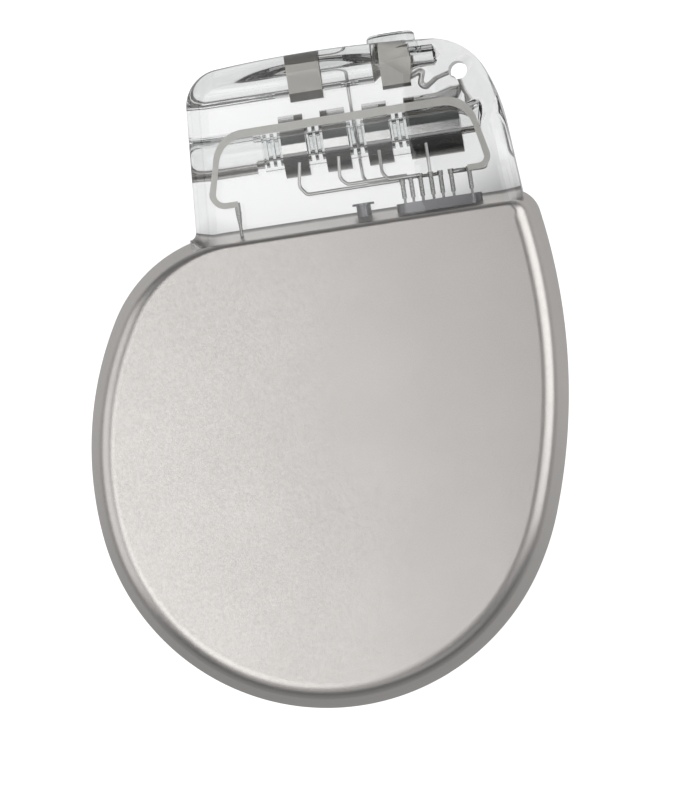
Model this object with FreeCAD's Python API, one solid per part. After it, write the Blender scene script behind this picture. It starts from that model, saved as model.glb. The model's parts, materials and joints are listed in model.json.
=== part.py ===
import FreeCAD, Part
import math
import os
from FreeCAD import Vector

os.makedirs("parts", exist_ok=True)

# Implantable cardioverter defibrillator, lying on the back face of its can.
# The origin is on that face, at the centre of the can's round lower end.
# X runs along the lead bores, Y from the can to the header, Z out of the front face.

# Can, a flat titanium case drawn as two halves that meet at mid-thickness
thickness = 12.0
can_wall = 0.35
wall_draft = 12.0
face_fillet = 1.8
top_face_fillet = 0.6
bottom_radius = 24.0
bottom_end = -34.3
low_right_radius = 28.1
low_right_end = -20.2
up_right_radius = 62.0
corner_radius = 3.0
can_top = 26.5
shoulder_radius = 14.65
left_radius = 35.5
left_start = 186.5
band_width = 2.2
band_thickness = 0.3

# Header, a block of clear cast resin round the lead connectors
header_depth = 10.8
header_edge = 2.0
header_rise = 17.15
crown_radius = 129.5
crown_x = 5.25
crown_right = 84.6
crown_left = 94.5
right_corner_radius = 6.2
right_corner_end = 23.2
right_flank_radius = 18.1
right_wall_tilt = 4.4
left_corner_radius = 3.9
left_wall_tilt = 4.2
foot_radius = 0.75

# Lower port, for the shock lead: three contact rings, four seals and a clamping block in a line
df4_rise = 7.77
df4_mouth_radius = 2.4
df4_neck_radius = 1.95
df4_neck_length = 0.78
df4_lead_radius = 1.65
df4_pin_radius = 0.85
df4_first_ring = 0.67
df4_pitch = 4.37
df4_ring_length = 2.55
df4_ring_radius = 3.25
df4_ring_count = 3
df4_block_length = 5.5
df4_end_radius = 1.5
df4_end_length = 1.9
df4_end_cone = 0.6
spring_groove_width = 1.3
spring_groove_depth = 0.65
entry_seal_length = 2.03
seal_radius = 2.35
last_seal_radius = 2.75
seal_groove_radius = 2.0
seal_lip_radius = 1.35
seal_lip_width = 0.43
seal_lip_taper = 0.05

# Upper port, for the atrial lead: a ring block, a clamping block and a blind tip end
is1_rise = 14.5
is1_bore_radius = 1.7
is1_inner_radius = 1.6
is1_pin_radius = 0.85
df4_mouth_round = 0.8
is1_mouth_flare = 0.45
is1_flare_length = 0.7
ring_block_start = 2.26
ring_block_length = 3.45
ring_block_below = 2.25
ring_block_above = 1.95
ring_block_depth = 4.6
ring_block_chamfer = 0.85
ring_block_bore = 1.45
ring_groove_radius = 1.8
ring_groove_width = 0.9
tip_block_start = 11.9
tip_block_length = 2.95
tip_block_below = 2.4
tip_block_above = 1.7
tip_block_depth = 3.2
tip_block_chamfer = 0.35
tip_taper_length = 0.8
tip_end_radius = 1.15
tip_end_length = 2.4
tip_end_cone = 0.65

# Set screws and the silicone septums over them
screw_radius = 0.95
screw_length = 1.3
screw_clearance = 0.05
socket_flats = 0.9
socket_depth = 0.7
screw_chamfer = 0.2
screw_gap = 0.15
septum_radius = 2.5
septum_crown = 0.7
septum_edge = 0.55
septum_skirt = 0.35
slit_width = 0.12
slit_length = 1.7
slit_depth = 0.45
back_septum_radius = 1.7
back_septum_thickness = 1.1

# Suture hole through the header
suture_radius = 0.95
suture_x = 19.86
suture_rise = 12.9
scoop_x = 17.6
scoop_rise = 10.6
scoop_turn = 51.0
scoop_round = 4.0
scoop_slope = 20.0

# Telemetry antenna, a flat ribbon in front of the connectors, wider along its top
antenna_width = 0.85
antenna_leg_width = 0.62
antenna_thickness = 0.25
antenna_gap = 0.225
antenna_rise = 2.1
antenna_left_foot = -7.41
antenna_left_top = -5.61
antenna_right_top = 20.26
antenna_right_foot = 21.81

# Feedthrough in the can's top wall: pins in glass, in one ferrule
pin_xs = [12.46, 13.36, 14.36, 15.46, 16.46, 17.56, 19.46]
pin_z = 9.1
pin_radius = 0.14
pin_inner_length = 2.4
sleeve_radius = 0.24
collar_radius = 0.3
collar_length = 0.5
sleeve_start = 0.6
sleeve_length = 2.35
first_sleeve_length = 2.0
insulator_radius = 0.36
ferrule_margin = 0.95
ferrule_depth = 2.8
ferrule_above = 0.12
ferrule_below = 1.9
ferrule_round = 1.2
wire_radius = 0.18
tip_wire_radius = 0.24
weld_drop = 1.8

# Posts that hold the resin to the can
post_x = 8.1
post_z = 8.0
post_radius = 0.75
post_head_radius = 1.15
post_head_thickness = 0.22
post_rise = 0.82
anchor_x = -4.74
anchor_z = 9.1
anchor_radius = 0.3
anchor_foot_radius = 0.17
anchor_taper_start = 0.3
anchor_taper_end = 1.7
anchor_rise = 2.8

# Inside of the can: liners, a moulded frame, and the cells below the board
liner_thickness = 0.25
liner_inset = 3.0
frame_inset = 2.3
frame_wall = 0.7
frame_window = 5.0
frame_lip = 0.6
cell_clearance = 0.1
cell_gap = 0.4
cell_edge = 0.6
cell_top = 8.0
split_x = -0.5
separator_thickness = 0.2
terminal_radius = 0.35
battery_terminal_x = -12.0
battery_terminal_pitch = 3.0
capacitor_terminal_x = 6.0
capacitor_terminal_pitch = 8.0
capacitor_terminal_rise = 1.2

# Circuit board and its parts, placed one after another with the same gap
board_thickness = 0.8
board_bottom = 9.4
board_clearance = 0.1
part_gap = 1.2
row_rise = 1.8
getter_side = 5.0
getter_thickness = 1.0
processor_side = 8.0
memory_width = 5.0
memory_side = 6.0
chip_thickness = 1.3
switch_width = 3.2
switch_side = 4.2
switch_thickness = 1.9
switch_count = 4
core_radius = 4.6
core_height = 4.4
core_rim = 0.8
core_post_radius = 1.8
winding_gap = 0.15
coil_length = 8.0
coil_radius = 1.2
motor_radius = 4.0
motor_thickness = 3.2
flex_thickness = 0.2
flex_margin = 0.5
flex_gap = 0.4
flex_drop = 1.0
flex_landing = 2.0

mid_z = thickness / 2.0
df4_y = can_top + df4_rise
is1_y = can_top + is1_rise
header_top = can_top + header_rise
header_back = mid_z - header_depth / 2.0
slope = math.tan(math.radians(wall_draft))


def polar(centre, radius, degrees):
    angle = math.radians(degrees)
    return centre[0] + radius * math.cos(angle), centre[1] + radius * math.sin(angle)


def direction(start, end):
    return math.degrees(math.atan2(end[1] - start[1], end[0] - start[0]))


def arc_edge(centre, radius, start, end, z):
    """A circular edge in the plane z, from one direction in degrees to another."""
    points = [polar(centre, radius, a) for a in (start, (start + end) / 2.0, end)]
    return Part.Arc(*[Vector(x, y, z) for x, y in points]).toShape()


def line_edge(start, end, z):
    return Part.makeLine(Vector(start[0], start[1], z), Vector(end[0], end[1], z))


# Outline of the can: six tangent arcs and the straight top


def can_arcs():
    """Centre, radius and end directions of each arc, counter-clockwise from the left flank."""
    low_right = polar((0.0, 0.0), bottom_radius - low_right_radius, bottom_end)
    up_right = polar(low_right, low_right_radius - up_right_radius, low_right_end)
    corner_y = can_top - corner_radius
    reach = up_right_radius - corner_radius
    corner = (up_right[0] + math.sqrt(reach ** 2 - (corner_y - up_right[1]) ** 2), corner_y)
    left = polar((0.0, 0.0), bottom_radius - left_radius, left_start)
    shoulder_y = can_top - shoulder_radius
    reach = left_radius - shoulder_radius
    shoulder = (left[0] - math.sqrt(reach ** 2 - (shoulder_y - left[1]) ** 2), shoulder_y)
    corner_start = direction(up_right, corner)
    shoulder_end = direction(left, shoulder)
    return [
        (left, left_radius, shoulder_end, left_start),
        ((0.0, 0.0), bottom_radius, left_start - 360.0, bottom_end),
        (low_right, low_right_radius, bottom_end, low_right_end),
        (up_right, up_right_radius, low_right_end, corner_start),
        (corner, corner_radius, corner_start, 90.0),
        (shoulder, shoulder_radius, 90.0, shoulder_end),
    ]


def can_wire(inset, z):
    """The outline set in by a distance smaller than the corner radius."""
    edges = [arc_edge(c, r - inset, a, b, z) for c, r, a, b in can_arcs()]
    corner, shoulder = can_arcs()[4][0], can_arcs()[5][0]
    top = line_edge((corner[0], can_top - inset), (shoulder[0], can_top - inset), z)
    return Part.Wire(edges[:5] + [top] + edges[5:])


def inner_face(inset, z):
    """The outline set in by any distance, as a face."""
    face = Part.Face(can_wire(0.0, z))
    return face.makeOffset2D(-inset)


def edge_rounds(solid, z, main, narrow):
    """Edges of the flat face with their radii: narrow along the straight top, growing round the corners."""
    rounds = []
    corner = can_arcs()[4]
    shoulder = can_arcs()[5]
    shoulder_foot = polar(*shoulder[:2], shoulder[3])[1] - slope * mid_z
    for index, edge in enumerate(solid.Edges, 1):
        if min(v.Z for v in edge.Vertexes) < z - 0.01:
            continue
        middle = edge.valueAt((edge.FirstParameter + edge.LastParameter) / 2.0)
        first = edge.valueAt(edge.FirstParameter)
        if not isinstance(edge.Curve, (Part.Line, Part.LineSegment)):
            on_corner = middle.x > corner[0][0] and middle.y > corner[0][1]
            on_shoulder = middle.x < shoulder[0][0] and middle.y > shoulder_foot
            if on_corner or on_shoulder:
                top_first = first.y > middle.y
                pair = (narrow, main) if top_first else (main, narrow)
                rounds.append((index,) + pair)
            else:
                rounds.append((index, main, main))
        else:
            rounds.append((index, narrow, narrow))
    return rounds


def can_half(inset, height, main, narrow):
    """Drafted block from the seam to a flat face at the given height above it, with rounded face edges."""
    rise = slope * height
    block = Part.makeLoft([can_wire(inset, mid_z), can_wire(inset + rise, mid_z + height)], True, True)
    feature = document.addObject("Part::Feature", "block")
    feature.Shape = block
    rounded = document.addObject("Part::Fillet", "rounded")
    rounded.Base = feature
    rounded.Edges = edge_rounds(block, mid_z + height, main, narrow)
    document.recompute()
    return rounded.Shape.copy()


def across_seam(shape):
    return shape.mirror(Vector(0, 0, mid_z), Vector(0, 0, 1))


def box(x0, x1, y0, y1, z0, z1):
    return Part.makeBox(x1 - x0, y1 - y0, z1 - z0, Vector(x0, y0, z0))


def bar_x(x0, x1, radius, y, z=None):
    return Part.makeCylinder(radius, x1 - x0, Vector(x0, y, mid_z if z is None else z), Vector(1, 0, 0))


def bar_y(y0, y1, radius, x, z):
    return Part.makeCylinder(radius, y1 - y0, Vector(x, y0, z), Vector(0, 1, 0))


def bar_z(z0, z1, radius, x, y):
    return Part.makeCylinder(radius, z1 - z0, Vector(x, y, z0), Vector(0, 0, 1))


def spring_ring(outer_radius, wire, x, y):
    """Torus about the line along X at y, filling a groove of the given radius."""
    return Part.makeTorus(outer_radius - wire, wire, Vector(x, y, mid_z), Vector(1, 0, 0))


def fuse_all(shapes):
    return shapes[0].multiFuse(shapes[1:]).removeSplitter()


# Outline of the header


def header_wires():
    """Wire of the header's outline, and the x of its walls at a height, as functions."""
    crown = (crown_x, header_top - crown_radius)
    corner = polar(crown, crown_radius - right_corner_radius, crown_right)
    flank = polar(corner, right_corner_radius - right_flank_radius, right_corner_end)
    left = polar(crown, crown_radius - left_corner_radius, crown_left)
    right_top = polar(flank, right_flank_radius, right_wall_tilt)
    left_top = polar(left, left_corner_radius, 180.0 - left_wall_tilt)

    def right_wall(y):
        return right_top[0] + (right_top[1] - y) * math.tan(math.radians(right_wall_tilt))

    def left_wall(y):
        return left_top[0] - (left_top[1] - y) * math.tan(math.radians(left_wall_tilt))

    shoulder, radius = can_arcs()[5][:2]

    def shoulder_y(x):
        return shoulder[1] + math.sqrt(radius ** 2 - (x - shoulder[0]) ** 2)

    base = can_top - corner_radius
    foot_x = left_wall(can_top)
    foot = (foot_x, shoulder_y(foot_x))
    foot_up = (left_wall(foot[1] + foot_radius), foot[1] + foot_radius)
    foot_out = (foot_x - foot_radius, shoulder_y(foot_x - foot_radius) - 0.03)
    pull = 1.0 - math.sqrt(0.5)
    foot_mid = [foot[i] + pull * (foot_up[i] + foot_out[i] - 2 * foot[i]) for i in (0, 1)]
    foot_arc = Part.Arc(*[Vector(x, y, 0) for x, y in (foot_up, foot_mid, foot_out)]).toShape()
    edges = [
        line_edge((foot_out[0], base), (right_wall(base), base), 0),
        line_edge((right_wall(base), base), right_top, 0),
        arc_edge(flank, right_flank_radius, right_wall_tilt, right_corner_end, 0),
        arc_edge(corner, right_corner_radius, right_corner_end, crown_right, 0),
        arc_edge(crown, crown_radius, crown_right, crown_left, 0),
        arc_edge(left, left_corner_radius, crown_left, 180.0 - left_wall_tilt, 0),
        line_edge(left_top, foot_up, 0),
        foot_arc,
        line_edge(foot_out, (foot_out[0], base), 0),
    ]
    return Part.Wire(edges), left_wall, right_wall


def header_block():
    wire = header_wires()[0]
    wire.translate(Vector(0, 0, header_back))
    block = Part.Face(wire).extrude(Vector(0, 0, header_depth))
    base = can_top - corner_radius
    rims = []
    for edge in block.Edges:
        zs = [v.Z for v in edge.Vertexes]
        flat = abs(zs[0] - zs[-1]) < 0.01
        if flat and max(v.Y for v in edge.Vertexes) > base + 0.01:
            rims.append(edge)
    return block.makeFillet(header_edge, rims)


# Wires and ribbons: straight runs joined by tangent arcs


def rounded_path(points, radii):
    """Wire through the points, with an arc of the given radius at each inner one."""
    points = [Vector(*p) for p in points]
    edges = []
    start = points[0]
    for here, after, radius, before in zip(points[1:-1], points[2:], radii, points[:-2]):
        to_back = (before - here).normalize()
        to_front = (after - here).normalize()
        half = to_back.getAngle(to_front) / 2.0
        reach = radius / math.tan(half)
        enter = here + to_back * reach
        leave = here + to_front * reach
        bisector = (to_back + to_front).normalize()
        middle = here + bisector * (radius / math.sin(half) - radius)
        if (enter - start).Length > 1e-6:
            edges.append(Part.makeLine(start, enter))
        edges.append(Part.Arc(enter, middle, leave).toShape())
        start = leave
    edges.append(Part.makeLine(start, points[-1]))
    return Part.Wire(edges)


def round_wire(points, radii, radius=None):
    path = rounded_path(points, radii)
    start = Vector(*points[0])
    along = Vector(*points[1]) - start
    profile = Part.Wire(Part.makeCircle(radius or wire_radius, start, along))
    return path.makePipeShell([profile], True, True)


def ribbon_edge(points, widths, side, z):
    """Corners of one edge of a ribbon, half of each run's own width from the centre line."""
    points = [Vector(x, y, z) for x, y in points]
    runs = [(b - a).normalize() for a, b in zip(points, points[1:])]
    shifts = [run.cross(Vector(0, 0, side)) * (width / 2.0) for run, width in zip(runs, widths)]
    corners = [points[0] + shifts[0]]
    for here, before, after, near, far_shift in zip(points[1:-1], runs, runs[1:], shifts, shifts[1:]):
        gap = far_shift - near
        turn = before.x * after.y - before.y * after.x
        reach = (gap.x * after.y - gap.y * after.x) / turn
        corners.append(here + near + before * reach)
    return corners + [points[-1] + shifts[-1]]


def ribbon(points, radii, z, widths, depth):
    """Flat ribbon centred on the plane z, each run with its own width, turning clockwise all the way."""
    low = z - depth / 2.0
    outer = ribbon_edge(points, widths, -1.0, low)
    inner = ribbon_edge(points, widths, 1.0, low)
    half = min(widths) / 2.0
    outer_path = rounded_path(outer, [r + half for r in radii])
    inner_path = rounded_path(inner, [r - half for r in radii])
    ends = [Part.makeLine(outer[-1], inner[-1]), Part.makeLine(inner[0], outer[0])]
    outline = Part.Wire(Part.__sortEdges__(outer_path.Edges + inner_path.Edges + ends))
    return Part.Face(outline).extrude(Vector(0, 0, depth))


def revolved_x(profile, y, z):
    """Closed outline of (x, radius) points turned about the axis at y, z."""
    corners = [Vector(x, y + r, z) for x, r in profile]
    face = Part.Face(Part.makePolygon(corners + corners[:1]))
    return face.revolve(Vector(0, y, z), Vector(1, 0, 0), 360)


nodes = {}
document = FreeCAD.newDocument("can")

# Can shells and the band behind the weld
can_front = can_half(0.0, mid_z, face_fillet, top_face_fillet)
can_space = can_half(can_wall, mid_z - can_wall, face_fillet - can_wall, top_face_fillet - can_wall)
can_outer = can_front.fuse(across_seam(can_front)).removeSplitter()
front_shell = can_front.cut(can_space)
back_shell = across_seam(front_shell)

band_inset = can_wall + slope * band_width / 2.0
band_outer = Part.Face(can_wire(band_inset, mid_z - band_width / 2.0))
band_inner = Part.Face(can_wire(band_inset + band_thickness, mid_z - band_width / 2.0))
nodes["weld_band"] = band_outer.cut(band_inner).extrude(Vector(0, 0, band_width))

# Feedthrough
ferrule_top = can_top + ferrule_above
ferrule_bottom = can_top - ferrule_below
ferrule = box(
    pin_xs[0] - ferrule_margin,
    pin_xs[-1] + ferrule_margin,
    ferrule_bottom,
    ferrule_top,
    pin_z - ferrule_depth / 2.0,
    pin_z + ferrule_depth / 2.0,
)
upright = [e for e in ferrule.Edges if abs(e.Vertexes[0].Y - e.Vertexes[-1].Y) > 0.1]
ferrule = ferrule.makeFillet(ferrule_round, upright)
ferrule_envelope = ferrule.copy()
sleeve_bottom = can_top + sleeve_start
pins = []
insulators = []
sleeves = []
sleeve_envelopes = []
for index, x in enumerate(pin_xs):
    length = first_sleeve_length if index == 0 else sleeve_length
    pin = bar_y(ferrule_bottom - pin_inner_length, sleeve_bottom + length, pin_radius, x, pin_z)
    bead = bar_y(ferrule_bottom, ferrule_top, insulator_radius, x, pin_z)
    sleeve = bar_y(sleeve_bottom, sleeve_bottom + length, sleeve_radius, x, pin_z)
    collar_bottom = sleeve_bottom + length - collar_length
    collar = bar_y(collar_bottom, sleeve_bottom + length, collar_radius, x, pin_z)
    sleeve = sleeve.fuse(collar).removeSplitter()
    ferrule = ferrule.cut(bead)
    pins.append(pin)
    insulators.append(bead.cut(pin))
    sleeves.append(sleeve.cut(pin))
    sleeve_envelopes += [sleeve, pin]
nodes["feedthrough_ferrule"] = ferrule
nodes["feedthrough_insulators"] = Part.makeCompound(insulators)
nodes["feedthrough_pins"] = Part.makeCompound(pins)
nodes["crimp_sleeves"] = Part.makeCompound(sleeves)
nodes["can_front_shell"] = front_shell.cut(ferrule_envelope)
nodes["can_back_shell"] = back_shell

# Posts on the can's top wall
post_top = can_top + post_rise
post = bar_y(can_top - 2.0, post_top, post_radius, post_x, post_z)
head = bar_y(post_top - post_head_thickness, post_top, post_head_radius, post_x, post_z)
nodes["header_post"] = post.fuse(head).removeSplitter().cut(can_outer)
taper_start = can_top + anchor_taper_start
taper_end = can_top + anchor_taper_end
taper_length = taper_end - taper_start
taper_base = Vector(anchor_x, taper_start, anchor_z)
taper = Part.makeCone(anchor_foot_radius, anchor_radius, taper_length, taper_base, Vector(0, 1, 0))
anchor_foot = bar_y(can_top - 2.0, taper_start, anchor_foot_radius, anchor_x, anchor_z)
anchor_head = bar_y(taper_end, can_top + anchor_rise, anchor_radius, anchor_x, anchor_z)
nodes["antenna_anchor_pin"] = fuse_all([anchor_foot, taper, anchor_head]).cut(can_outer)

# Lower port
block_start = df4_first_ring + df4_ring_count * df4_pitch
block_end = block_start + df4_block_length
groove_radius = df4_lead_radius + spring_groove_depth
spring_radius = spring_groove_depth / 2.0
for index in range(df4_ring_count):
    start = df4_first_ring + index * df4_pitch
    middle = start + df4_ring_length / 2.0
    ring = bar_x(start, start + df4_ring_length, df4_ring_radius, df4_y)
    ring = ring.cut(bar_x(start, start + df4_ring_length, df4_lead_radius, df4_y))
    groove_start = middle - spring_groove_width / 2.0
    groove = bar_x(groove_start, groove_start + spring_groove_width, groove_radius, df4_y)
    nodes["df4_contact_ring_%d" % (index + 1)] = ring.cut(groove)
    spring = spring_ring(groove_radius, spring_radius, middle, df4_y)
    nodes["df4_contact_spring_%d" % (index + 1)] = spring


def seal(start, end, radius):
    """Silicone sleeve with three inner grooves and two lips between them, and a land at a longer start."""
    groove = (df4_pitch - df4_ring_length - 2.0 * seal_lip_width) / 3.0
    outline = [(start, radius), (end, radius), (end, seal_groove_radius)]
    high = end - groove
    for lip in range(2):
        low = high - seal_lip_width
        outline += [
            (high, seal_groove_radius),
            (high - seal_lip_taper, seal_lip_radius),
            (low + seal_lip_taper, seal_lip_radius),
            (low, seal_groove_radius),
        ]
        high = low - groove
    if high > start + seal_lip_taper:
        outline += [(high, seal_groove_radius), (high, df4_lead_radius), (start, df4_lead_radius)]
    else:
        outline.append((start, seal_groove_radius))
    return revolved_x(outline, df4_y, mid_z)


seal_spans = [(df4_first_ring - entry_seal_length, df4_first_ring)]
for index in range(df4_ring_count):
    start = df4_first_ring + index * df4_pitch + df4_ring_length
    seal_spans.append((start, df4_first_ring + (index + 1) * df4_pitch))
seal_radii = [seal_radius] * df4_ring_count + [last_seal_radius]
seal_envelopes = []
for index, (span, radius) in enumerate(zip(seal_spans, seal_radii)):
    nodes["df4_seal_%d" % (index + 1)] = seal(*span, radius)
    seal_envelopes.append(bar_x(*span, radius, df4_y))

block_middle = (block_start + block_end) / 2.0
df4_block = bar_x(block_start, block_end, df4_ring_radius, df4_y)
df4_block_envelope = df4_block.copy()
df4_block = df4_block.cut(bar_x(block_start, block_end, df4_pin_radius, df4_y))
back_screw_start = mid_z - df4_pin_radius - screw_gap - screw_length
screw_hole = bar_z(0.0, mid_z, screw_radius + screw_clearance, block_middle, df4_y)
nodes["df4_tip_block"] = df4_block.cut(screw_hole)


def set_screw():
    """Headless screw standing on its tip at the origin, along +Z, with a hexagon socket in its top."""
    screw = Part.makeCylinder(screw_radius, screw_length)
    tip = [e for e in screw.Edges if len(e.Vertexes) == 1 and e.Vertexes[0].Z < 0.01]
    screw = screw.makeChamfer(screw_chamfer, tip)
    corner = socket_flats / math.sqrt(3.0)
    corners = [Vector(*polar((0, 0), corner, 60.0 * i), screw_length - socket_depth) for i in range(7)]
    socket = Part.Face(Part.makePolygon(corners)).extrude(Vector(0, 0, socket_depth))
    return screw.cut(socket)


df4_screw = set_screw()
df4_screw.rotate(Vector(0, 0, 0), Vector(1, 0, 0), 180)
df4_screw.translate(Vector(block_middle, df4_y, back_screw_start + screw_length))
nodes["df4_setscrew"] = df4_screw
back_septum_top = header_back + back_septum_thickness
back_septum = bar_z(header_back, back_septum_top, back_septum_radius, block_middle, df4_y)
back_septum_envelope = back_septum.copy()
slit_box = box(
    block_middle - slit_length / 2.0,
    block_middle + slit_length / 2.0,
    df4_y - slit_width / 2.0,
    df4_y + slit_width / 2.0,
    header_back,
    header_back + slit_depth,
)
nodes["df4_septum"] = back_septum.cut(slit_box)

# Upper port
ring_block_end = ring_block_start + ring_block_length
tip_block_end = tip_block_start + tip_block_length


def chamfered_bar(x0, x1, y0, y1, depth, chamfer):
    """Bar along X centred at mid-thickness, its four long edges cut off."""
    half = depth / 2.0
    side = half - chamfer
    profile = [
        (y0 + chamfer, -half),
        (y1 - chamfer, -half),
        (y1, -side),
        (y1, side),
        (y1 - chamfer, half),
        (y0 + chamfer, half),
        (y0, side),
        (y0, -side),
    ]
    corners = [Vector(x0, y, mid_z + z) for y, z in profile]
    return Part.Face(Part.makePolygon(corners + corners[:1])).extrude(Vector(x1 - x0, 0, 0))


ring_block = chamfered_bar(
    ring_block_start,
    ring_block_end,
    is1_y - ring_block_below,
    is1_y + ring_block_above,
    ring_block_depth,
    ring_block_chamfer,
)
ring_block_envelope = ring_block.copy()
ring_middle = (ring_block_start + ring_block_end) / 2.0
ring_block = ring_block.cut(bar_x(ring_block_start, ring_block_end, ring_block_bore, is1_y))
ring_groove_start = ring_middle - ring_groove_width / 2.0
ring_groove = bar_x(ring_groove_start, ring_groove_start + ring_groove_width, ring_groove_radius, is1_y)
nodes["is1_ring_block"] = ring_block.cut(ring_groove)
ring_spring_radius = (ring_groove_radius - ring_block_bore) / 2.0
nodes["is1_contact_spring"] = spring_ring(ring_groove_radius, ring_spring_radius, ring_middle, is1_y)

tip_middle = (tip_block_start + tip_block_end) / 2.0
tip_block_top = is1_y + tip_block_above
tip_block = chamfered_bar(
    tip_block_start, tip_block_end, is1_y - tip_block_below, tip_block_top, tip_block_depth, tip_block_chamfer
)
tip_block_envelope = tip_block.copy()
tip_block = tip_block.cut(bar_x(tip_block_start, tip_block_end, is1_pin_radius, is1_y))
screw_bottom = is1_y + is1_pin_radius + screw_gap
screw_space_radius = screw_radius + screw_clearance
screw_space = bar_y(is1_y, screw_bottom + screw_length + screw_gap, screw_space_radius, tip_middle, mid_z)
nodes["is1_tip_block"] = tip_block.cut(screw_space)
is1_screw = set_screw()
is1_screw.rotate(Vector(0, 0, 0), Vector(1, 0, 0), -90)
is1_screw.translate(Vector(tip_middle, screw_bottom, mid_z))
nodes["is1_setscrew"] = is1_screw

septum_top = header_top + septum_crown
septum_bottom = is1_y + septum_skirt
septum = bar_y(septum_bottom, septum_top, septum_radius, tip_middle, mid_z)
top_rim = [e for e in septum.Edges if len(e.Vertexes) == 1 and e.Vertexes[0].Y > septum_top - 0.01]
septum = septum.makeFillet(septum_edge, top_rim)
septum_envelope = septum.copy()
pin_path = bar_x(tip_middle - 2 * septum_radius, tip_middle + 2 * septum_radius, is1_pin_radius, is1_y)
septum = septum.cut(fuse_all([tip_block_envelope, screw_space, pin_path]))
for turn in (0, 90):
    slit_corner = Vector(-slit_length / 2.0, septum_top - slit_depth, -slit_width / 2.0)
    slit = Part.makeBox(slit_length, slit_depth, slit_width, slit_corner)
    slit.rotate(Vector(0, 0, 0), Vector(0, 1, 0), turn)
    slit.translate(Vector(tip_middle, 0, mid_z))
    septum = septum.cut(slit)
nodes["is1_septum"] = septum

# Telemetry antenna and the wires
antenna_z = mid_z + df4_ring_radius + antenna_gap + antenna_thickness / 2.0
antenna_path = [
    (anchor_x + 0.1, can_top + 2.65),
    (antenna_left_foot, can_top + 2.65),
    (antenna_left_top, df4_y + antenna_rise - 0.1),
    (antenna_right_top, df4_y + antenna_rise + 0.1),
    (antenna_right_foot, can_top + 2.8),
    (pin_xs[-1] - 0.1, can_top + 2.8),
]
antenna_widths = [antenna_leg_width, antenna_leg_width, antenna_width, antenna_leg_width, antenna_leg_width]
antenna = ribbon(antenna_path, [1.2, 3.2, 3.3, 1.05], antenna_z, antenna_widths, antenna_thickness)
nodes["telemetry_antenna"] = antenna

ring_touch = mid_z + math.sqrt((df4_ring_radius + wire_radius) ** 2 - weld_drop ** 2)
wire_y = can_top + 2.55
sleeve_side = collar_radius + wire_radius


def ring_start(index):
    return df4_first_ring + index * df4_pitch


nodes["df4_ring_wire_1"] = round_wire(
    [
        (ring_start(0) + 1.6, df4_y - weld_drop, ring_touch),
        (ring_start(0) + 1.2, df4_y - 4.3, pin_z - 0.2),
        (ring_start(0) + 1.9, wire_y, pin_z - 0.1),
        (pin_xs[0] - collar_radius, wire_y, pin_z),
    ],
    [1.0, 0.5],
)
nodes["df4_ring_wire_2"] = round_wire(
    [
        (ring_start(1) + 1.3, df4_y - weld_drop, ring_touch),
        (ring_start(1) + 1.1, df4_y - 4.1, pin_z - 0.2),
        (ring_start(1) + 1.8, wire_y + 0.42, pin_z - 0.1),
        (pin_xs[1] - collar_radius, wire_y + 0.42, pin_z),
    ],
    [1.0, 0.5],
)
nodes["df4_ring_wire_3"] = round_wire(
    [
        (ring_start(2) + 1.15, df4_y - weld_drop, ring_touch),
        (ring_start(2) + 1.15, df4_y - 4.2, pin_z + 0.3),
        (ring_start(2) + 1.75, wire_y + 0.25, pin_z + sleeve_side),
        (pin_xs[2], wire_y + 0.25, pin_z + sleeve_side),
    ],
    [1.0, 0.5],
)
sleeve_top = sleeve_bottom + sleeve_length
nodes["df4_tip_wire"] = round_wire(
    [
        (pin_xs[3], df4_y - weld_drop, ring_touch),
        (pin_xs[3], df4_y - 3.4, pin_z),
        (pin_xs[3], sleeve_top, pin_z),
    ],
    [1.5],
)
nodes["is1_ring_wire"] = round_wire(
    [
        (ring_block_end, is1_y + 1.1, mid_z - 2.0),
        (8.26, is1_y + 1.1, mid_z - 2.0),
        (8.3, df4_y, mid_z - 2.55),
        (8.45, wire_y + 0.4, mid_z - 2.4),
        (pin_xs[3], wire_y + 0.1, pin_z - 1.3),
        (pin_xs[4], wire_y + 0.1, pin_z - sleeve_side),
    ],
    [1.3, 3.0, 0.9, 1.5],
)
nodes["is1_tip_wire"] = round_wire(
    [
        (tip_block_end, is1_y - 1.5, mid_z - 0.9),
        (15.75, is1_y - 1.5, mid_z - 0.9),
        (15.75, is1_y - 2.95, mid_z - 1.0),
        (19.15, is1_y - 1.95, mid_z - 1.4),
        (19.55, df4_y + 2.4, mid_z - 2.0),
        (20.6, df4_y + 0.2, mid_z - 2.2),
        (21.45, can_top + 3.6, mid_z - 0.8),
        (21.1, wire_y + 0.1, pin_z - 1.75),
        (pin_xs[5] + 0.75, wire_y + 0.1, pin_z),
        (pin_xs[5] + collar_radius, wire_y + 0.1, pin_z),
    ],
    [0.35, 0.6, 0.5, 0.9, 1.5, 1.0, 0.7, 0.4],
    tip_wire_radius,
)

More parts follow.
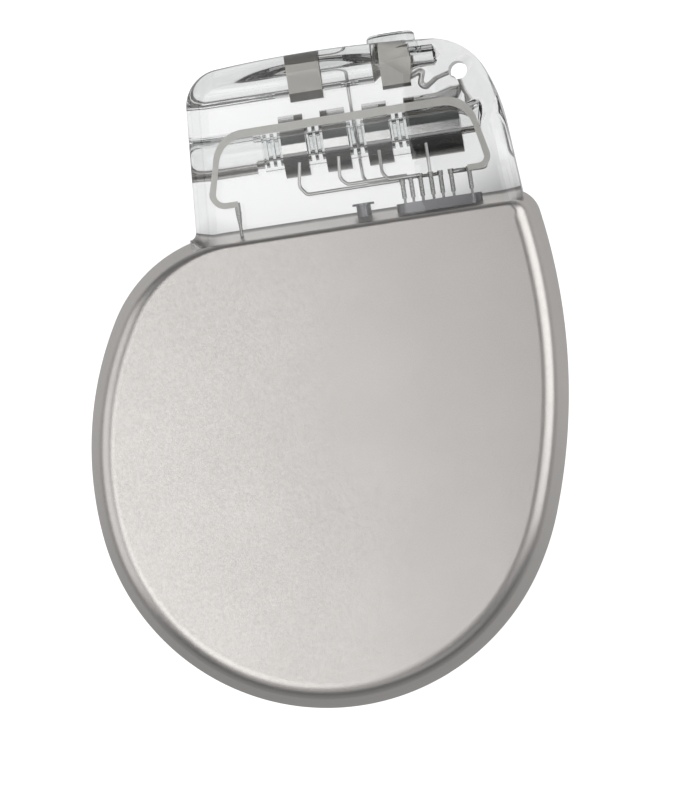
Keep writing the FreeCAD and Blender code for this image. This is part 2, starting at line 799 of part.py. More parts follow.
# Resin of the header, cast round all that it holds
left_wall, right_wall = header_wires()[1:]
cut_over = 1.0
upper_mouth = left_wall(is1_y)
bore_end = tip_block_start - tip_taper_length
flare_over = is1_mouth_flare * (1.0 + cut_over / is1_flare_length)
upper_path = [
    (upper_mouth - cut_over, 0.0),
    (upper_mouth - cut_over, is1_bore_radius + flare_over),
    (upper_mouth + is1_flare_length, is1_bore_radius),
    (ring_block_start, is1_bore_radius),
    (ring_block_start, is1_inner_radius),
    (bore_end, is1_inner_radius),
    (tip_block_start, is1_pin_radius),
    (tip_block_end, is1_pin_radius),
    (tip_block_end, tip_end_radius),
    (tip_block_end + tip_end_length, tip_end_radius),
    (tip_block_end + tip_end_length + tip_end_cone, 0.0),
]
lower_mouth = left_wall(df4_y)
seal_start = seal_spans[0][0]
neck_start = seal_start - df4_neck_length
lower_path = [
    (lower_mouth - cut_over, 0.0),
    (lower_mouth - cut_over, df4_mouth_radius),
    (neck_start, df4_mouth_radius),
    (neck_start, df4_neck_radius),
    (seal_start, df4_neck_radius),
    (seal_start, df4_lead_radius),
    (block_start, df4_lead_radius),
    (block_start, df4_pin_radius),
    (block_end, df4_pin_radius),
    (block_end, df4_end_radius),
    (block_end + df4_end_length, df4_end_radius),
    (block_end + df4_end_length + df4_end_cone, 0.0),
]


def suture_scoop():
    """Space in front of the header's thinner corner: a rounded start, then an even slope."""
    turn_end = scoop_round * math.sin(math.radians(scoop_slope))
    drop = scoop_round * (1.0 - math.cos(math.radians(scoop_slope)))
    middle = scoop_round * math.sin(math.radians(scoop_slope / 2.0))
    middle_drop = scoop_round * (1.0 - math.cos(math.radians(scoop_slope / 2.0)))
    front = mid_z + header_depth / 2.0
    length = header_rise
    run_drop = drop + length * math.tan(math.radians(scoop_slope))
    start = Vector(0, 0, front)
    bend = Vector(turn_end, 0, front - drop)
    low = Vector(turn_end + length, 0, front - run_drop)
    high = Vector(turn_end + length, 0, front + cut_over)
    back = Vector(0, 0, front + cut_over)
    arc = Part.Arc(start, Vector(middle, 0, front - middle_drop), bend).toShape()
    lines = [Part.makeLine(a, b) for a, b in ((bend, low), (low, high), (high, back), (back, start))]
    scoop = Part.Face(Part.Wire([arc] + lines)).extrude(Vector(0, 2.0 * length, 0))
    scoop.translate(Vector(0, -length, 0))
    scoop.rotate(Vector(0, 0, 0), Vector(0, 0, 1), scoop_turn)
    scoop.translate(Vector(scoop_x, can_top + scoop_rise, 0))
    return scoop


def mouth_edges(resin, y, radius):
    """Edges where a bore breaks through the left wall."""
    found = []
    for edge in resin.Edges:
        if edge.Degenerated or edge.BoundBox.XMax > neck_start:
            continue
        points = edge.discretize(5)
        on_bore = all(abs(math.hypot(p.y - y, p.z - mid_z) - radius) < 0.01 for p in points)
        round_bore = max(p.z for p in points) - min(p.z for p in points) > 0.01
        if on_bore and round_bore and edge.BoundBox.XMin < neck_start - df4_mouth_radius:
            found.append(edge)
    return found


embedded = [
    can_outer,
    revolved_x(upper_path, is1_y, mid_z),
    revolved_x(lower_path, df4_y, mid_z),
    bar_z(0.0, thickness, suture_radius, suture_x, can_top + suture_rise),
    ferrule_envelope,
    nodes["header_post"],
    nodes["antenna_anchor_pin"],
    df4_block_envelope,
    back_septum_envelope,
    bar_z(back_septum_top, mid_z, screw_radius + screw_clearance, block_middle, df4_y),
    ring_block_envelope,
    tip_block_envelope,
    septum_envelope,
    nodes["telemetry_antenna"],
]
embedded += sleeve_envelopes
for index in range(df4_ring_count):
    embedded.append(bar_x(ring_start(index), ring_start(index) + df4_ring_length, df4_ring_radius, df4_y))
embedded += seal_envelopes
embedded += [nodes[n] for n in sorted(nodes) if n.endswith("_wire") or "_wire_" in n]
resin = header_block().cut(suture_scoop()).cut(across_seam(suture_scoop()))
for shape in embedded:
    resin = resin.cut(shape)
resin = resin.makeFillet(df4_mouth_round, mouth_edges(resin, df4_y, df4_mouth_radius))
nodes["header"] = resin

# Liners and the moulded frame inside the can
inside_back = can_wall + liner_thickness
inside_front = thickness - inside_back
inside = frame_inset + frame_wall
far = 2.0 * thickness + can_top + bottom_radius
liner = inner_face(liner_inset, can_wall).extrude(Vector(0, 0, liner_thickness))
nodes["back_liner"] = liner
nodes["front_liner"] = across_seam(liner)
frame_face = inner_face(frame_inset, inside_back).cut(inner_face(inside, inside_back))
frame = frame_face.extrude(Vector(0, 0, inside_front - inside_back))
feedthrough_window = box(
    pin_xs[0] - ferrule_margin - cell_gap,
    pin_xs[-1] + ferrule_margin + cell_gap,
    can_top - frame_window,
    can_top,
    mid_z,
    inside_front - frame_lip,
)
nodes["inner_frame"] = frame.cut(feedthrough_window)


def bay(x0, x1, y0, y1, z0, z1, clearance):
    """Block that fills the frame between the given limits."""
    room = inner_face(inside + clearance, z0).extrude(Vector(0, 0, z1 - z0))
    return room.common(box(x0, x1, y0, y1, z0, z1))


def drawn_case(x0, x1, z0, z1):
    """Case of a cell below the board, its flat faces rounded at the rim."""
    case = bay(x0, x1, -far, cell_top, z0, z1, cell_clearance)
    rims = [e for e in case.Edges if abs(e.BoundBox.ZLength) < 0.001]
    return case.makeFillet(cell_edge, rims)


def inside_span(y):
    """Least and greatest x inside the frame at a height."""
    across = Part.makeLine(Vector(-far, y, 0), Vector(far, y, 0)).common(inner_face(inside, 0.0))
    return across.BoundBox.XMin, across.BoundBox.XMax


cell_left = split_x - cell_gap / 2.0
cell_right = split_x + cell_gap / 2.0
separator_back = mid_z - separator_thickness / 2.0
separator_front = mid_z + separator_thickness / 2.0
nodes["battery"] = drawn_case(-far, cell_left, inside_back, inside_front)
nodes["capacitor_back"] = drawn_case(cell_right, far, inside_back, separator_back)
nodes["capacitor_front"] = drawn_case(cell_right, far, separator_front, inside_front)
separator = bay(cell_right, far, -far, cell_top, separator_back, separator_front, cell_clearance)
nodes["capacitor_separator"] = separator
nodes["battery_terminals"] = Part.makeCompound(
    [
        bar_y(cell_top, board_bottom, terminal_radius, battery_terminal_x + i * battery_terminal_pitch, mid_z)
        for i in (0, 1)
    ]
)
nodes["capacitor_terminals"] = Part.makeCompound(
    [
        bar_y(
            cell_top,
            board_bottom,
            terminal_radius,
            capacitor_terminal_x + i * capacitor_terminal_pitch,
            mid_z + side * capacitor_terminal_rise,
        )
        for i in (0, 1)
        for side in (-1, 1)
    ]
)

# Circuit board: the chips, getter and motor on its front, the switches and transformer on its back
board_back = mid_z - board_thickness / 2.0
board_front = mid_z + board_thickness / 2.0
nodes["circuit_board"] = bay(-far, far, board_bottom, can_top, board_back, board_front, board_clearance)
row = board_bottom + row_rise
row_left = inside_span(row + processor_side)[0] + part_gap
getter_end = row_left + getter_side
getter_front = board_front + getter_thickness
nodes["getter_pad"] = box(row_left, getter_end, row, row + getter_side, board_front, getter_front)
processor_start = getter_end + part_gap
processor_end = processor_start + processor_side
processor_top = row + processor_side
chip_front = board_front + chip_thickness
nodes["processor_chip"] = box(processor_start, processor_end, row, processor_top, board_front, chip_front)
memory_start = processor_end + part_gap
memory_end = memory_start + memory_width
nodes["memory_chip"] = box(memory_start, memory_end, row, row + memory_side, board_front, chip_front)
motor_y = board_bottom + part_gap + motor_radius
motor_x = inside_span(motor_y)[1] - part_gap - motor_radius
nodes["vibration_motor"] = bar_z(board_front, board_front + motor_thickness, motor_radius, motor_x, motor_y)
coil_y = processor_top + part_gap + coil_radius
coil_z = board_front + coil_radius
nodes["telemetry_coil"] = bar_x(processor_start, processor_start + coil_length, coil_radius, coil_y, coil_z)

switches = []
for index in range(switch_count):
    start = row_left + index * (switch_width + part_gap)
    switches.append(
        box(start, start + switch_width, row, row + switch_side, board_back - switch_thickness, board_back)
    )
nodes["high_voltage_switches"] = Part.makeCompound(switches)
core_x = row_left + switch_count * (switch_width + part_gap) + core_radius
core_y = board_bottom + part_gap + core_radius
core_back = board_back - core_height
core_floor = board_back - core_rim
core = bar_z(core_back, board_back, core_radius, core_x, core_y)
groove = bar_z(core_back, core_floor, core_radius - core_rim, core_x, core_y)
groove = groove.cut(bar_z(core_back, core_floor, core_post_radius, core_x, core_y))
nodes["transformer_core"] = core.cut(groove)
winding = bar_z(core_back + winding_gap, core_floor, core_radius - core_rim - winding_gap, core_x, core_y)
post_space = bar_z(core_back + winding_gap, core_floor, core_post_radius + winding_gap, core_x, core_y)
nodes["transformer_winding"] = winding.cut(post_space)

# Flexible circuit from the feedthrough pins down to the board
flex_start = pin_xs[0] - flex_margin
flex_length = pin_xs[-1] + flex_margin - flex_start
flex_front = pin_z - pin_radius
flex_top = ferrule_bottom - flex_gap
flex_bend = ferrule_bottom - pin_inner_length
flex_foot = flex_bend - flex_drop
flex_end = flex_foot - flex_landing
flex_profile = [
    (flex_top, flex_front),
    (flex_bend, flex_front),
    (flex_foot, board_front + flex_thickness),
    (flex_end, board_front + flex_thickness),
    (flex_end, board_front),
    (flex_foot + flex_thickness, board_front),
    (flex_bend + flex_thickness, flex_front - flex_thickness),
    (flex_top, flex_front - flex_thickness),
]
corners = [Vector(flex_start, y, z) for y, z in flex_profile]
nodes["flex_circuit"] = Part.Face(Part.makePolygon(corners + corners[:1])).extrude(Vector(flex_length, 0, 0))

for name, shape in nodes.items():
    shape.exportStep("parts/%s.step" % name)
    if not shape.isValid():
        print("not valid:", name)
print(len(nodes), "nodes")
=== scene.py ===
import json
import math

import bmesh
import bpy
from mathutils import Matrix, Vector

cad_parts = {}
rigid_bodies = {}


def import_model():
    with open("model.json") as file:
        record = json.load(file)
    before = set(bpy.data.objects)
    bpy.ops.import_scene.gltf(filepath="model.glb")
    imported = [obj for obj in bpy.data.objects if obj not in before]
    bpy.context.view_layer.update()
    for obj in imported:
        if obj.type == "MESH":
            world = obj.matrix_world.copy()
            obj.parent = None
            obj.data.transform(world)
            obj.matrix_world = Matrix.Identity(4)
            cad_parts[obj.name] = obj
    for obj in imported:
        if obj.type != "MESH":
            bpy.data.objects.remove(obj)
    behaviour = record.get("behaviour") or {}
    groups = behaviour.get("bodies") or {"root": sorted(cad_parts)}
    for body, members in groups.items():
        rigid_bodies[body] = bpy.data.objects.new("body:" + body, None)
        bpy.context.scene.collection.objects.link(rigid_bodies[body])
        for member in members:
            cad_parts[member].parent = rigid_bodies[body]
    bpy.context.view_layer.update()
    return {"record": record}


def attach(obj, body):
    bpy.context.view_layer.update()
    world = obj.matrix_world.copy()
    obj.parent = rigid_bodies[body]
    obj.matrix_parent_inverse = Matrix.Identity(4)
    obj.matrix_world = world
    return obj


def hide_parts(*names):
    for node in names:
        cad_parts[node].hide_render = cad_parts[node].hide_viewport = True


bl_info = {
    "name": "Implantable Defibrillator",
    "version": (1, 0, 0),
    "blender": (4, 5, 0),
    "location": "View3D > Sidebar > Defibrillator",
    "description": "Dresses an implantable defibrillator's frame with its titanium can and clear header",
    "category": "Object",
}

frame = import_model()

MM = 0.001
DEVICE = "device"
MID_Z = 6.0
UP = Vector((0.0, 0.0, 1.0))


# Arcs and outlines, in millimetres


def polar(centre, radius, degrees):
    angle = math.radians(degrees)
    return centre[0] + radius * math.cos(angle), centre[1] + radius * math.sin(angle)


def heading(start, end):
    return math.degrees(math.atan2(end[1] - start[1], end[0] - start[0]))


def arc_points(centre, radius, start, end, count):
    """Points with their outward normals, from one direction in degrees to another, without the last."""
    points = []
    for step in range(count):
        angle = start + (end - start) * step / count
        outward = polar((0.0, 0.0), 1.0 if radius > 0 else -1.0, angle)
        points.append((polar(centre, abs(radius), angle), outward))
    return points


def blend(low, high, share):
    return low + (high - low) * share


# Meshes


def mesh_object(name, vertices, faces, smooth=True):
    mesh = bpy.data.meshes.new(name)
    mesh.from_pydata([Vector(v) * MM for v in vertices], [], faces)
    mesh.validate()
    shell = bmesh.new()
    shell.from_mesh(mesh)
    bmesh.ops.remove_doubles(shell, verts=shell.verts, dist=0.0005 * MM)
    bmesh.ops.recalc_face_normals(shell, faces=shell.faces)
    for face in shell.faces:
        face.smooth = smooth
    shell.to_mesh(mesh)
    shell.free()
    piece = bpy.data.objects.new(name, mesh)
    bpy.context.scene.collection.objects.link(piece)
    return piece


def mark_sharp(piece, degrees):
    """Sets edges sharper than an angle as sharp, so that shading breaks there."""
    shell = bmesh.new()
    shell.from_mesh(piece.data)
    limit = math.radians(degrees)
    for edge in shell.edges:
        edge.smooth = len(edge.link_faces) == 2 and edge.calc_face_angle(0.0) < limit
    shell.to_mesh(piece.data)
    shell.free()


def weigh_normals(piece):
    """Keeps large flat faces flat where they run into a round."""
    modifier = piece.modifiers.new("flat faces stay flat", "WEIGHTED_NORMAL")
    modifier.mode = "FACE_AREA"
    modifier.weight = 100
    modifier.keep_sharp = True


def rings_to_faces(rings):
    """Quads between closed rings with as many points each; a ring is a list of vertex numbers."""
    faces = []
    for low, high in zip(rings, rings[1:]):
        for i in range(len(low)):
            j = (i + 1) % len(low)
            faces.append((low[i], low[j], high[j], high[i]))
    return faces


def turned(name, profile, centre, axis="X", segments=96):
    """Solid of revolution about a line along X, Y or Z through centre, from (along, radius) points."""
    vertices = []
    rings = []
    for along, radius in profile:
        ring = []
        for k in range(segments):
            angle = 2.0 * math.pi * k / segments
            a = radius * math.cos(angle)
            b = radius * math.sin(angle)
            place = {"X": (along, a, b), "Y": (a, along, b), "Z": (a, b, along)}[axis]
            vertices.append(Vector(place) + Vector(centre))
            ring.append(len(vertices) - 1)
        rings.append(ring)
    faces = rings_to_faces(rings)
    return mesh_object(name, vertices, faces)


def cut_or_join(piece, tool, operation):
    modifier = piece.modifiers.new("shape", "BOOLEAN")
    modifier.operation = operation
    modifier.solver = "EXACT"
    modifier.use_self = True
    modifier.object = tool
    settle(piece)
    bpy.data.objects.remove(tool)


def settle(piece):
    """Replaces the mesh with what its modifiers make of it."""
    bpy.context.view_layer.update()
    graph = bpy.context.evaluated_depsgraph_get()
    result = bpy.data.meshes.new_from_object(piece.evaluated_get(graph))
    piece.modifiers.clear()
    old = piece.data
    piece.data = result
    bpy.data.meshes.remove(old)


def cad_copy(node, name=None, sharp=32.0):
    """Smoothly shaded copy of a CAD node, which it replaces."""
    source = bpy.data.objects[node]
    mesh = source.data.copy()
    piece = bpy.data.objects.new(name or node + "_finished", mesh)
    bpy.context.scene.collection.objects.link(piece)
    shell = bmesh.new()
    shell.from_mesh(mesh)
    bmesh.ops.remove_doubles(shell, verts=shell.verts, dist=0.0005 * MM)
    bmesh.ops.dissolve_degenerate(shell, edges=shell.edges, dist=0.0001 * MM)
    for face in shell.faces:
        face.smooth = True
    shell.to_mesh(mesh)
    shell.free()
    mark_sharp(piece, sharp)
    return piece


def node_box(node):
    """Lowest and highest corner of a CAD node, in millimetres."""
    places = [vertex.co / MM for vertex in bpy.data.objects[node].data.vertices]
    low = [min(place[i] for place in places) for i in range(3)]
    high = [max(place[i] for place in places) for i in range(3)]
    return low, high


def dress(piece, material, body=DEVICE, replaces=()):
    piece.data.materials.clear()
    piece.data.materials.append(material)
    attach(piece, body)
    if replaces:
        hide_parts(*replaces)
    return piece


# Geometry Nodes


class Pattern:
    """A Geometry Nodes tree that repeats one small shape, written a line at a time."""

    def __init__(self, name, sizes):
        self.tree = bpy.data.node_groups.new(name, "GeometryNodeTree")
        self.values = {}
        face = self.tree.interface
        self.sockets = {}
        face.new_socket("Geometry", in_out="INPUT", socket_type="NodeSocketGeometry")
        for label, kind, value in sizes:
            self.sockets[label] = face.new_socket(label, in_out="INPUT", socket_type="NodeSocket" + kind)
            self.values[label] = value
        face.new_socket("Geometry", in_out="OUTPUT", socket_type="NodeSocketGeometry")
        self.given = self.tree.nodes.new("NodeGroupInput").outputs

    def add(self, kind, inputs=None, **settings):
        node = self.tree.nodes.new(kind)
        for key, value in settings.items():
            setattr(node, key, value)
        for key, value in (inputs or {}).items():
            if isinstance(value, bpy.types.NodeSocket):
                self.tree.links.new(value, node.inputs[key])
            else:
                node.inputs[key].default_value = value
        return node.outputs[0]

    def maths(self, operation, first, second):
        return self.add("ShaderNodeMath", {0: first, 1: second}, operation=operation)

    def finish(self, instances):
        """Makes the copies real, gives them their metal and ends the tree."""
        real = self.add("GeometryNodeRealizeInstances", {"Geometry": instances})
        dressed = self.add("GeometryNodeSetMaterial", {"Geometry": real, "Material": self.given["Metal"]})
        end = self.tree.nodes.new("NodeGroupOutput")
        self.tree.links.new(dressed, end.inputs[0])

    def grow(self, piece):
        """Runs the tree on a piece and keeps the plain mesh that comes out."""
        modifier = piece.modifiers.new(self.tree.name, "NODES")
        modifier.node_group = self.tree
        for label, value in self.values.items():
            modifier[self.sockets[label].identifier] = value
        settle(piece)
        return piece


SPRING_LEAN = 32.0
WELD_SPOT = (0.30, 0.12, 0.27)
WELD_PITCH = 0.42


def canted_spring(name, place, ring, coil, wire, turns, metal_look):
    """Ring of leaning wire turns about a line along X, such as grips a lead's pin."""
    sizes = (
        ("Ring Radius", "Float", ring * MM),
        ("Coil Radius", "Float", coil * MM),
        ("Wire Radius", "Float", wire * MM),
        ("Turns", "Int", turns),
        ("Lean", "Float", math.radians(SPRING_LEAN)),
        ("Place", "Vector", tuple(v * MM for v in place)),
        ("Metal", "Material", metal_look),
    )
    pattern = Pattern("canted_coil_spring", sizes)
    given = pattern.given
    round_curve = "GeometryNodeCurvePrimitiveCircle"
    loop = pattern.add(round_curve, {"Resolution": 14, "Radius": given["Coil Radius"]})
    section = pattern.add(round_curve, {"Resolution": 6, "Radius": given["Wire Radius"]})
    turn = pattern.add("GeometryNodeCurveToMesh", {"Curve": loop, "Profile Curve": section})
    upright = pattern.maths("ADD", given["Lean"], math.pi / 2.0)
    lean = pattern.add("ShaderNodeCombineXYZ", {"X": upright})
    leaning = pattern.add("GeometryNodeTransform", {"Geometry": turn, "Rotation": lean})
    circle = pattern.add(round_curve, {"Resolution": given["Turns"], "Radius": given["Ring Radius"]})
    step = pattern.maths("DIVIDE", 2.0 * math.pi, given["Turns"])
    angle = pattern.maths("MULTIPLY", pattern.add("GeometryNodeInputIndex"), step)
    facing = pattern.add("ShaderNodeCombineXYZ", {"Z": angle})
    inputs = {"Points": circle, "Instance": leaning, "Rotation": facing}
    copies = pattern.add("GeometryNodeInstanceOnPoints", inputs)
    quarter = (0.0, math.pi / 2.0, 0.0)
    turns_about_x = pattern.add("GeometryNodeTransform", {"Geometry": copies, "Rotation": quarter})
    placed = pattern.add("GeometryNodeTransform", {"Geometry": turns_about_x, "Translation": given["Place"]})
    pattern.finish(placed)
    mesh = bpy.data.meshes.new(name)
    spring = bpy.data.objects.new(name, mesh)
    bpy.context.scene.collection.objects.link(spring)
    pattern.grow(spring)
    for polygon in spring.data.polygons:
        polygon.use_smooth = True
    return spring


def weld_bead(name, path, pitch, metal_look):
    """Row of overlapping spots along a path, as a pulsed laser leaves them."""
    sizes = (
        ("Pitch", "Float", pitch * MM),
        ("Spot", "Vector", tuple(half * MM for half in WELD_SPOT)),
        ("Metal", "Material", metal_look),
    )
    pattern = Pattern("laser_weld_bead", sizes)
    given = pattern.given
    line = pattern.add("GeometryNodeMeshToCurve", {"Mesh": given["Geometry"]})
    inputs = {"Curve": line, "Length": given["Pitch"]}
    spots = pattern.add("GeometryNodeResampleCurve", inputs, mode="LENGTH")
    along = pattern.add("GeometryNodeInputTangent")
    align = "FunctionNodeAlignRotationToVector"
    spot_turn = pattern.add(align, {"Vector": along}, axis="X", pivot_axis="Z")
    ball = pattern.add("GeometryNodeMeshUVSphere", {"Segments": 10, "Rings": 6, "Radius": 1.0})
    inputs = {"Points": spots, "Instance": ball, "Rotation": spot_turn, "Scale": given["Spot"]}
    pattern.finish(pattern.add("GeometryNodeInstanceOnPoints", inputs))
    mesh = bpy.data.meshes.new(name)
    vertices = [Vector(v) * MM for v in path]
    mesh.from_pydata(vertices, [(i, i + 1) for i in range(len(vertices) - 1)], [])
    bead = bpy.data.objects.new(name, mesh)
    bpy.context.scene.collection.objects.link(bead)
    pattern.grow(bead)
    for polygon in bead.data.polygons:
        polygon.use_smooth = True
    return bead


# Materials


class Recipe:
    """A material's node tree, written a line at a time."""

    def __init__(self, name):
        self.material = bpy.data.materials.new(name)
        self.material.use_nodes = True
        self.tree = self.material.node_tree
        self.shader = self.tree.nodes["Principled BSDF"]
        self.place = self.add("ShaderNodeTexCoord").outputs["Object"]

    def add(self, kind, inputs=None, **settings):
        node = self.tree.nodes.new(kind)
        for key, value in settings.items():
            setattr(node, key, value)
        for key, value in (inputs or {}).items():
            if isinstance(value, bpy.types.NodeSocket):
                self.tree.links.new(value, node.inputs[key])
            else:
                node.inputs[key].default_value = value
        return node

    def stretched(self, scale):
        return self.add("ShaderNodeMapping", {"Vector": self.place, "Scale": scale}).outputs["Vector"]

    def noise(self, size, detail=3.0, roughness=0.5, vector=None):
        """Noise whose blobs are about a size across, in millimetres."""
        inputs = {"Scale": 1.0 / (size * MM), "Detail": detail, "Roughness": roughness}
        inputs["Vector"] = vector or self.place
        return self.add("ShaderNodeTexNoise", inputs).outputs["Fac"]

    def ramp(self, value, low, high, low_to=0.0, high_to=1.0):
        inputs = {"Value": value, "From Min": low, "From Max": high, "To Min": low_to, "To Max": high_to}
        return self.add("ShaderNodeMapRange", inputs).outputs["Result"]

    def mix(self, share, first, second):
        node = self.add("ShaderNodeMix", data_type="RGBA")
        for socket, value in ((node.inputs[0], share), (node.inputs[6], first), (node.inputs[7], second)):
            if isinstance(value, bpy.types.NodeSocket):
                self.tree.links.new(value, socket)
            else:
                socket.default_value = value
        return node.outputs[2]

    def maths(self, operation, first, second):
        node = self.add("ShaderNodeMath", operation=operation)
        for socket, value in zip(node.inputs, (first, second)):
            if isinstance(value, bpy.types.NodeSocket):
                self.tree.links.new(value, socket)
            else:
                socket.default_value = value
        return node.outputs[0]

    def set(self, **values):
        for key, value in values.items():
            socket = self.shader.inputs[key.replace("_", " ")]
            if isinstance(value, bpy.types.NodeSocket):
                self.tree.links.new(value, socket)
            else:
                socket.default_value = value

    def bump(self, height, depth, strength=1.0):
        """Relief of a depth in millimetres."""
        node = self.add("ShaderNodeBump", {"Height": height, "Distance": depth * MM, "Strength": strength})
        self.tree.links.new(node.outputs["Normal"], self.shader.inputs["Normal"])


def metal(name, colour, roughness, grain, spread=0.04, relief=0.0, stretch=None, shade=0.06):
    """Plain metal with a fine grain in its colour, polish and relief."""
    recipe = Recipe(name)
    vector = recipe.stretched(stretch) if stretch else None
    fine = recipe.noise(grain, 4.0, 0.6, vector)
    broad = recipe.noise(2.5, 2.0)
    tone = recipe.maths("ADD", recipe.maths("MULTIPLY", fine, 0.6), recipe.maths("MULTIPLY", broad, 0.4))
    dark = tuple(c * (1.0 - shade) for c in colour) + (1.0,)
    light = tuple(min(1.0, c * (1.0 + shade)) for c in colour) + (1.0,)
    recipe.set(
        Base_Color=recipe.mix(recipe.ramp(tone, 0.3, 0.7), dark, light),
        Metallic=1.0,
        Roughness=recipe.ramp(fine, 0.3, 0.7, roughness - spread, roughness + spread),
    )
    if relief:
        recipe.bump(fine, relief)
    return recipe.material


def plain(name, colour, roughness, grain=0.4, relief=0.002, shade=0.08):
    """Moulded or coated surface."""
    recipe = Recipe(name)
    fine = recipe.noise(grain, 4.0)
    dark = tuple(c * (1.0 - shade) for c in colour) + (1.0,)
    light = tuple(min(1.0, c * (1.0 + shade)) for c in colour) + (1.0,)
    recipe.set(
        Base_Color=recipe.mix(recipe.ramp(fine, 0.3, 0.7), dark, light),
        Roughness=recipe.ramp(fine, 0.3, 0.7, roughness - 0.05, roughness + 0.05),
    )
    recipe.bump(fine, relief)
    return recipe.material


def clear(name, colour, bending, roughness=0.0, ripple=0.0, ripple_size=4.0):
    """Clear solid that lets the lamps through to what is inside it."""
    recipe = Recipe(name)
    recipe.set(
        Base_Color=colour + (1.0,),
        Roughness=roughness,
        IOR=bending,
        Transmission_Weight=1.0,
    )
    if ripple:
        recipe.bump(recipe.noise(ripple_size, 2.0), ripple)
    through = recipe.add("ShaderNodeBsdfTransparent", {"Color": colour + (1.0,)})
    path = recipe.add("ShaderNodeLightPath")
    mixed = recipe.add("ShaderNodeMixShader", {"Fac": path.outputs["Is Shadow Ray"]})
    recipe.tree.links.new(recipe.shader.outputs[0], mixed.inputs[1])
    recipe.tree.links.new(through.outputs[0], mixed.inputs[2])
    output = recipe.tree.nodes["Material Output"]
    recipe.tree.links.new(mixed.outputs[0], output.inputs["Surface"])
    return recipe.material


# Height below which the rings and the block are painted dark, as a painted reflection, and how dark.
LOWER_SIDE = (32.98, 33.12)
PAINTED_REFLECTION_DARKNESS = 0.40


def ring_steel(name, colour, roughness):
    """Turned steel with fine lines across its length. The dark lower side is a painted reflection, matched
    to the picture.
    """
    recipe = Recipe(name)
    fine = recipe.noise(0.06, 4.0, 0.6, recipe.stretched((0.15, 1.0, 1.0)))
    dark = tuple(c * 0.94 for c in colour) + (1.0,)
    light = tuple(c * 1.06 for c in colour) + (1.0,)
    height = recipe.add("ShaderNodeSeparateXYZ", {"Vector": recipe.place}).outputs["Y"]
    lower = recipe.ramp(height, LOWER_SIDE[0] * MM, LOWER_SIDE[1] * MM, 1.0, 0.0)
    painted_dark_reflection = tuple(c * PAINTED_REFLECTION_DARKNESS for c in colour) + (1.0,)
    polish = recipe.ramp(fine, 0.3, 0.7, roughness - 0.03, roughness + 0.03)
    recipe.set(
        # The lower side's colour is a painted dark reflection; the lower side is also rougher.
        Base_Color=recipe.mix(lower, recipe.mix(recipe.ramp(fine, 0.3, 0.7), dark, light), painted_dark_reflection),
        Metallic=1.0,
        Roughness=recipe.maths("ADD", polish, recipe.maths("MULTIPLY", lower, 0.2)),
    )
    recipe.bump(fine, 0.0006)
    return recipe.material


# Height from which the can's top, under the resin, is painted darker as painted shade, and the colour of
# that shade.
UNDER_RESIN_FROM = 26.05
UNDER_RESIN_PAINTED_SHADE = (0.34, 0.33, 0.325, 1.0)


def can_titanium(colour, roughness):
    """Blasted titanium with tiny pits. Under the resin it is painted darker, a painted shade matched to the
    picture.
    """
    recipe = Recipe("can_titanium")
    pits = recipe.noise(0.11, 2.0, 0.6)
    grain = recipe.noise(0.35, 3.0, 0.6)
    cloud = recipe.noise(9.0, 3.0, 0.5)
    tone = recipe.maths("ADD", recipe.maths("MULTIPLY", pits, 0.65), recipe.maths("MULTIPLY", cloud, 0.35))
    dark = tuple(c * 0.93 for c in colour) + (1.0,)
    light = tuple(min(1.0, c * 1.06) for c in colour) + (1.0,)
    height = recipe.add("ShaderNodeSeparateXYZ", {"Vector": recipe.place}).outputs["Y"]
    under_resin = recipe.ramp(height, UNDER_RESIN_FROM * MM, (UNDER_RESIN_FROM + 0.25) * MM)
    bare = recipe.mix(recipe.ramp(tone, 0.3, 0.7), dark, light)
    polish = recipe.ramp(grain, 0.3, 0.7, roughness - 0.03, roughness + 0.04)
    recipe.set(
        # Under the resin the colour turns to a painted shade; the surface is also rougher there.
        Base_Color=recipe.mix(under_resin, bare, UNDER_RESIN_PAINTED_SHADE),
        Metallic=1.0,
        Roughness=recipe.maths("ADD", polish, recipe.maths("MULTIPLY", under_resin, 0.15)),
    )
    relief = recipe.maths("ADD", recipe.maths("MULTIPLY", pits, 0.6), recipe.maths("MULTIPLY", grain, 0.4))
    recipe.bump(relief, 0.006)
    return recipe.material


MATERIALS = {}


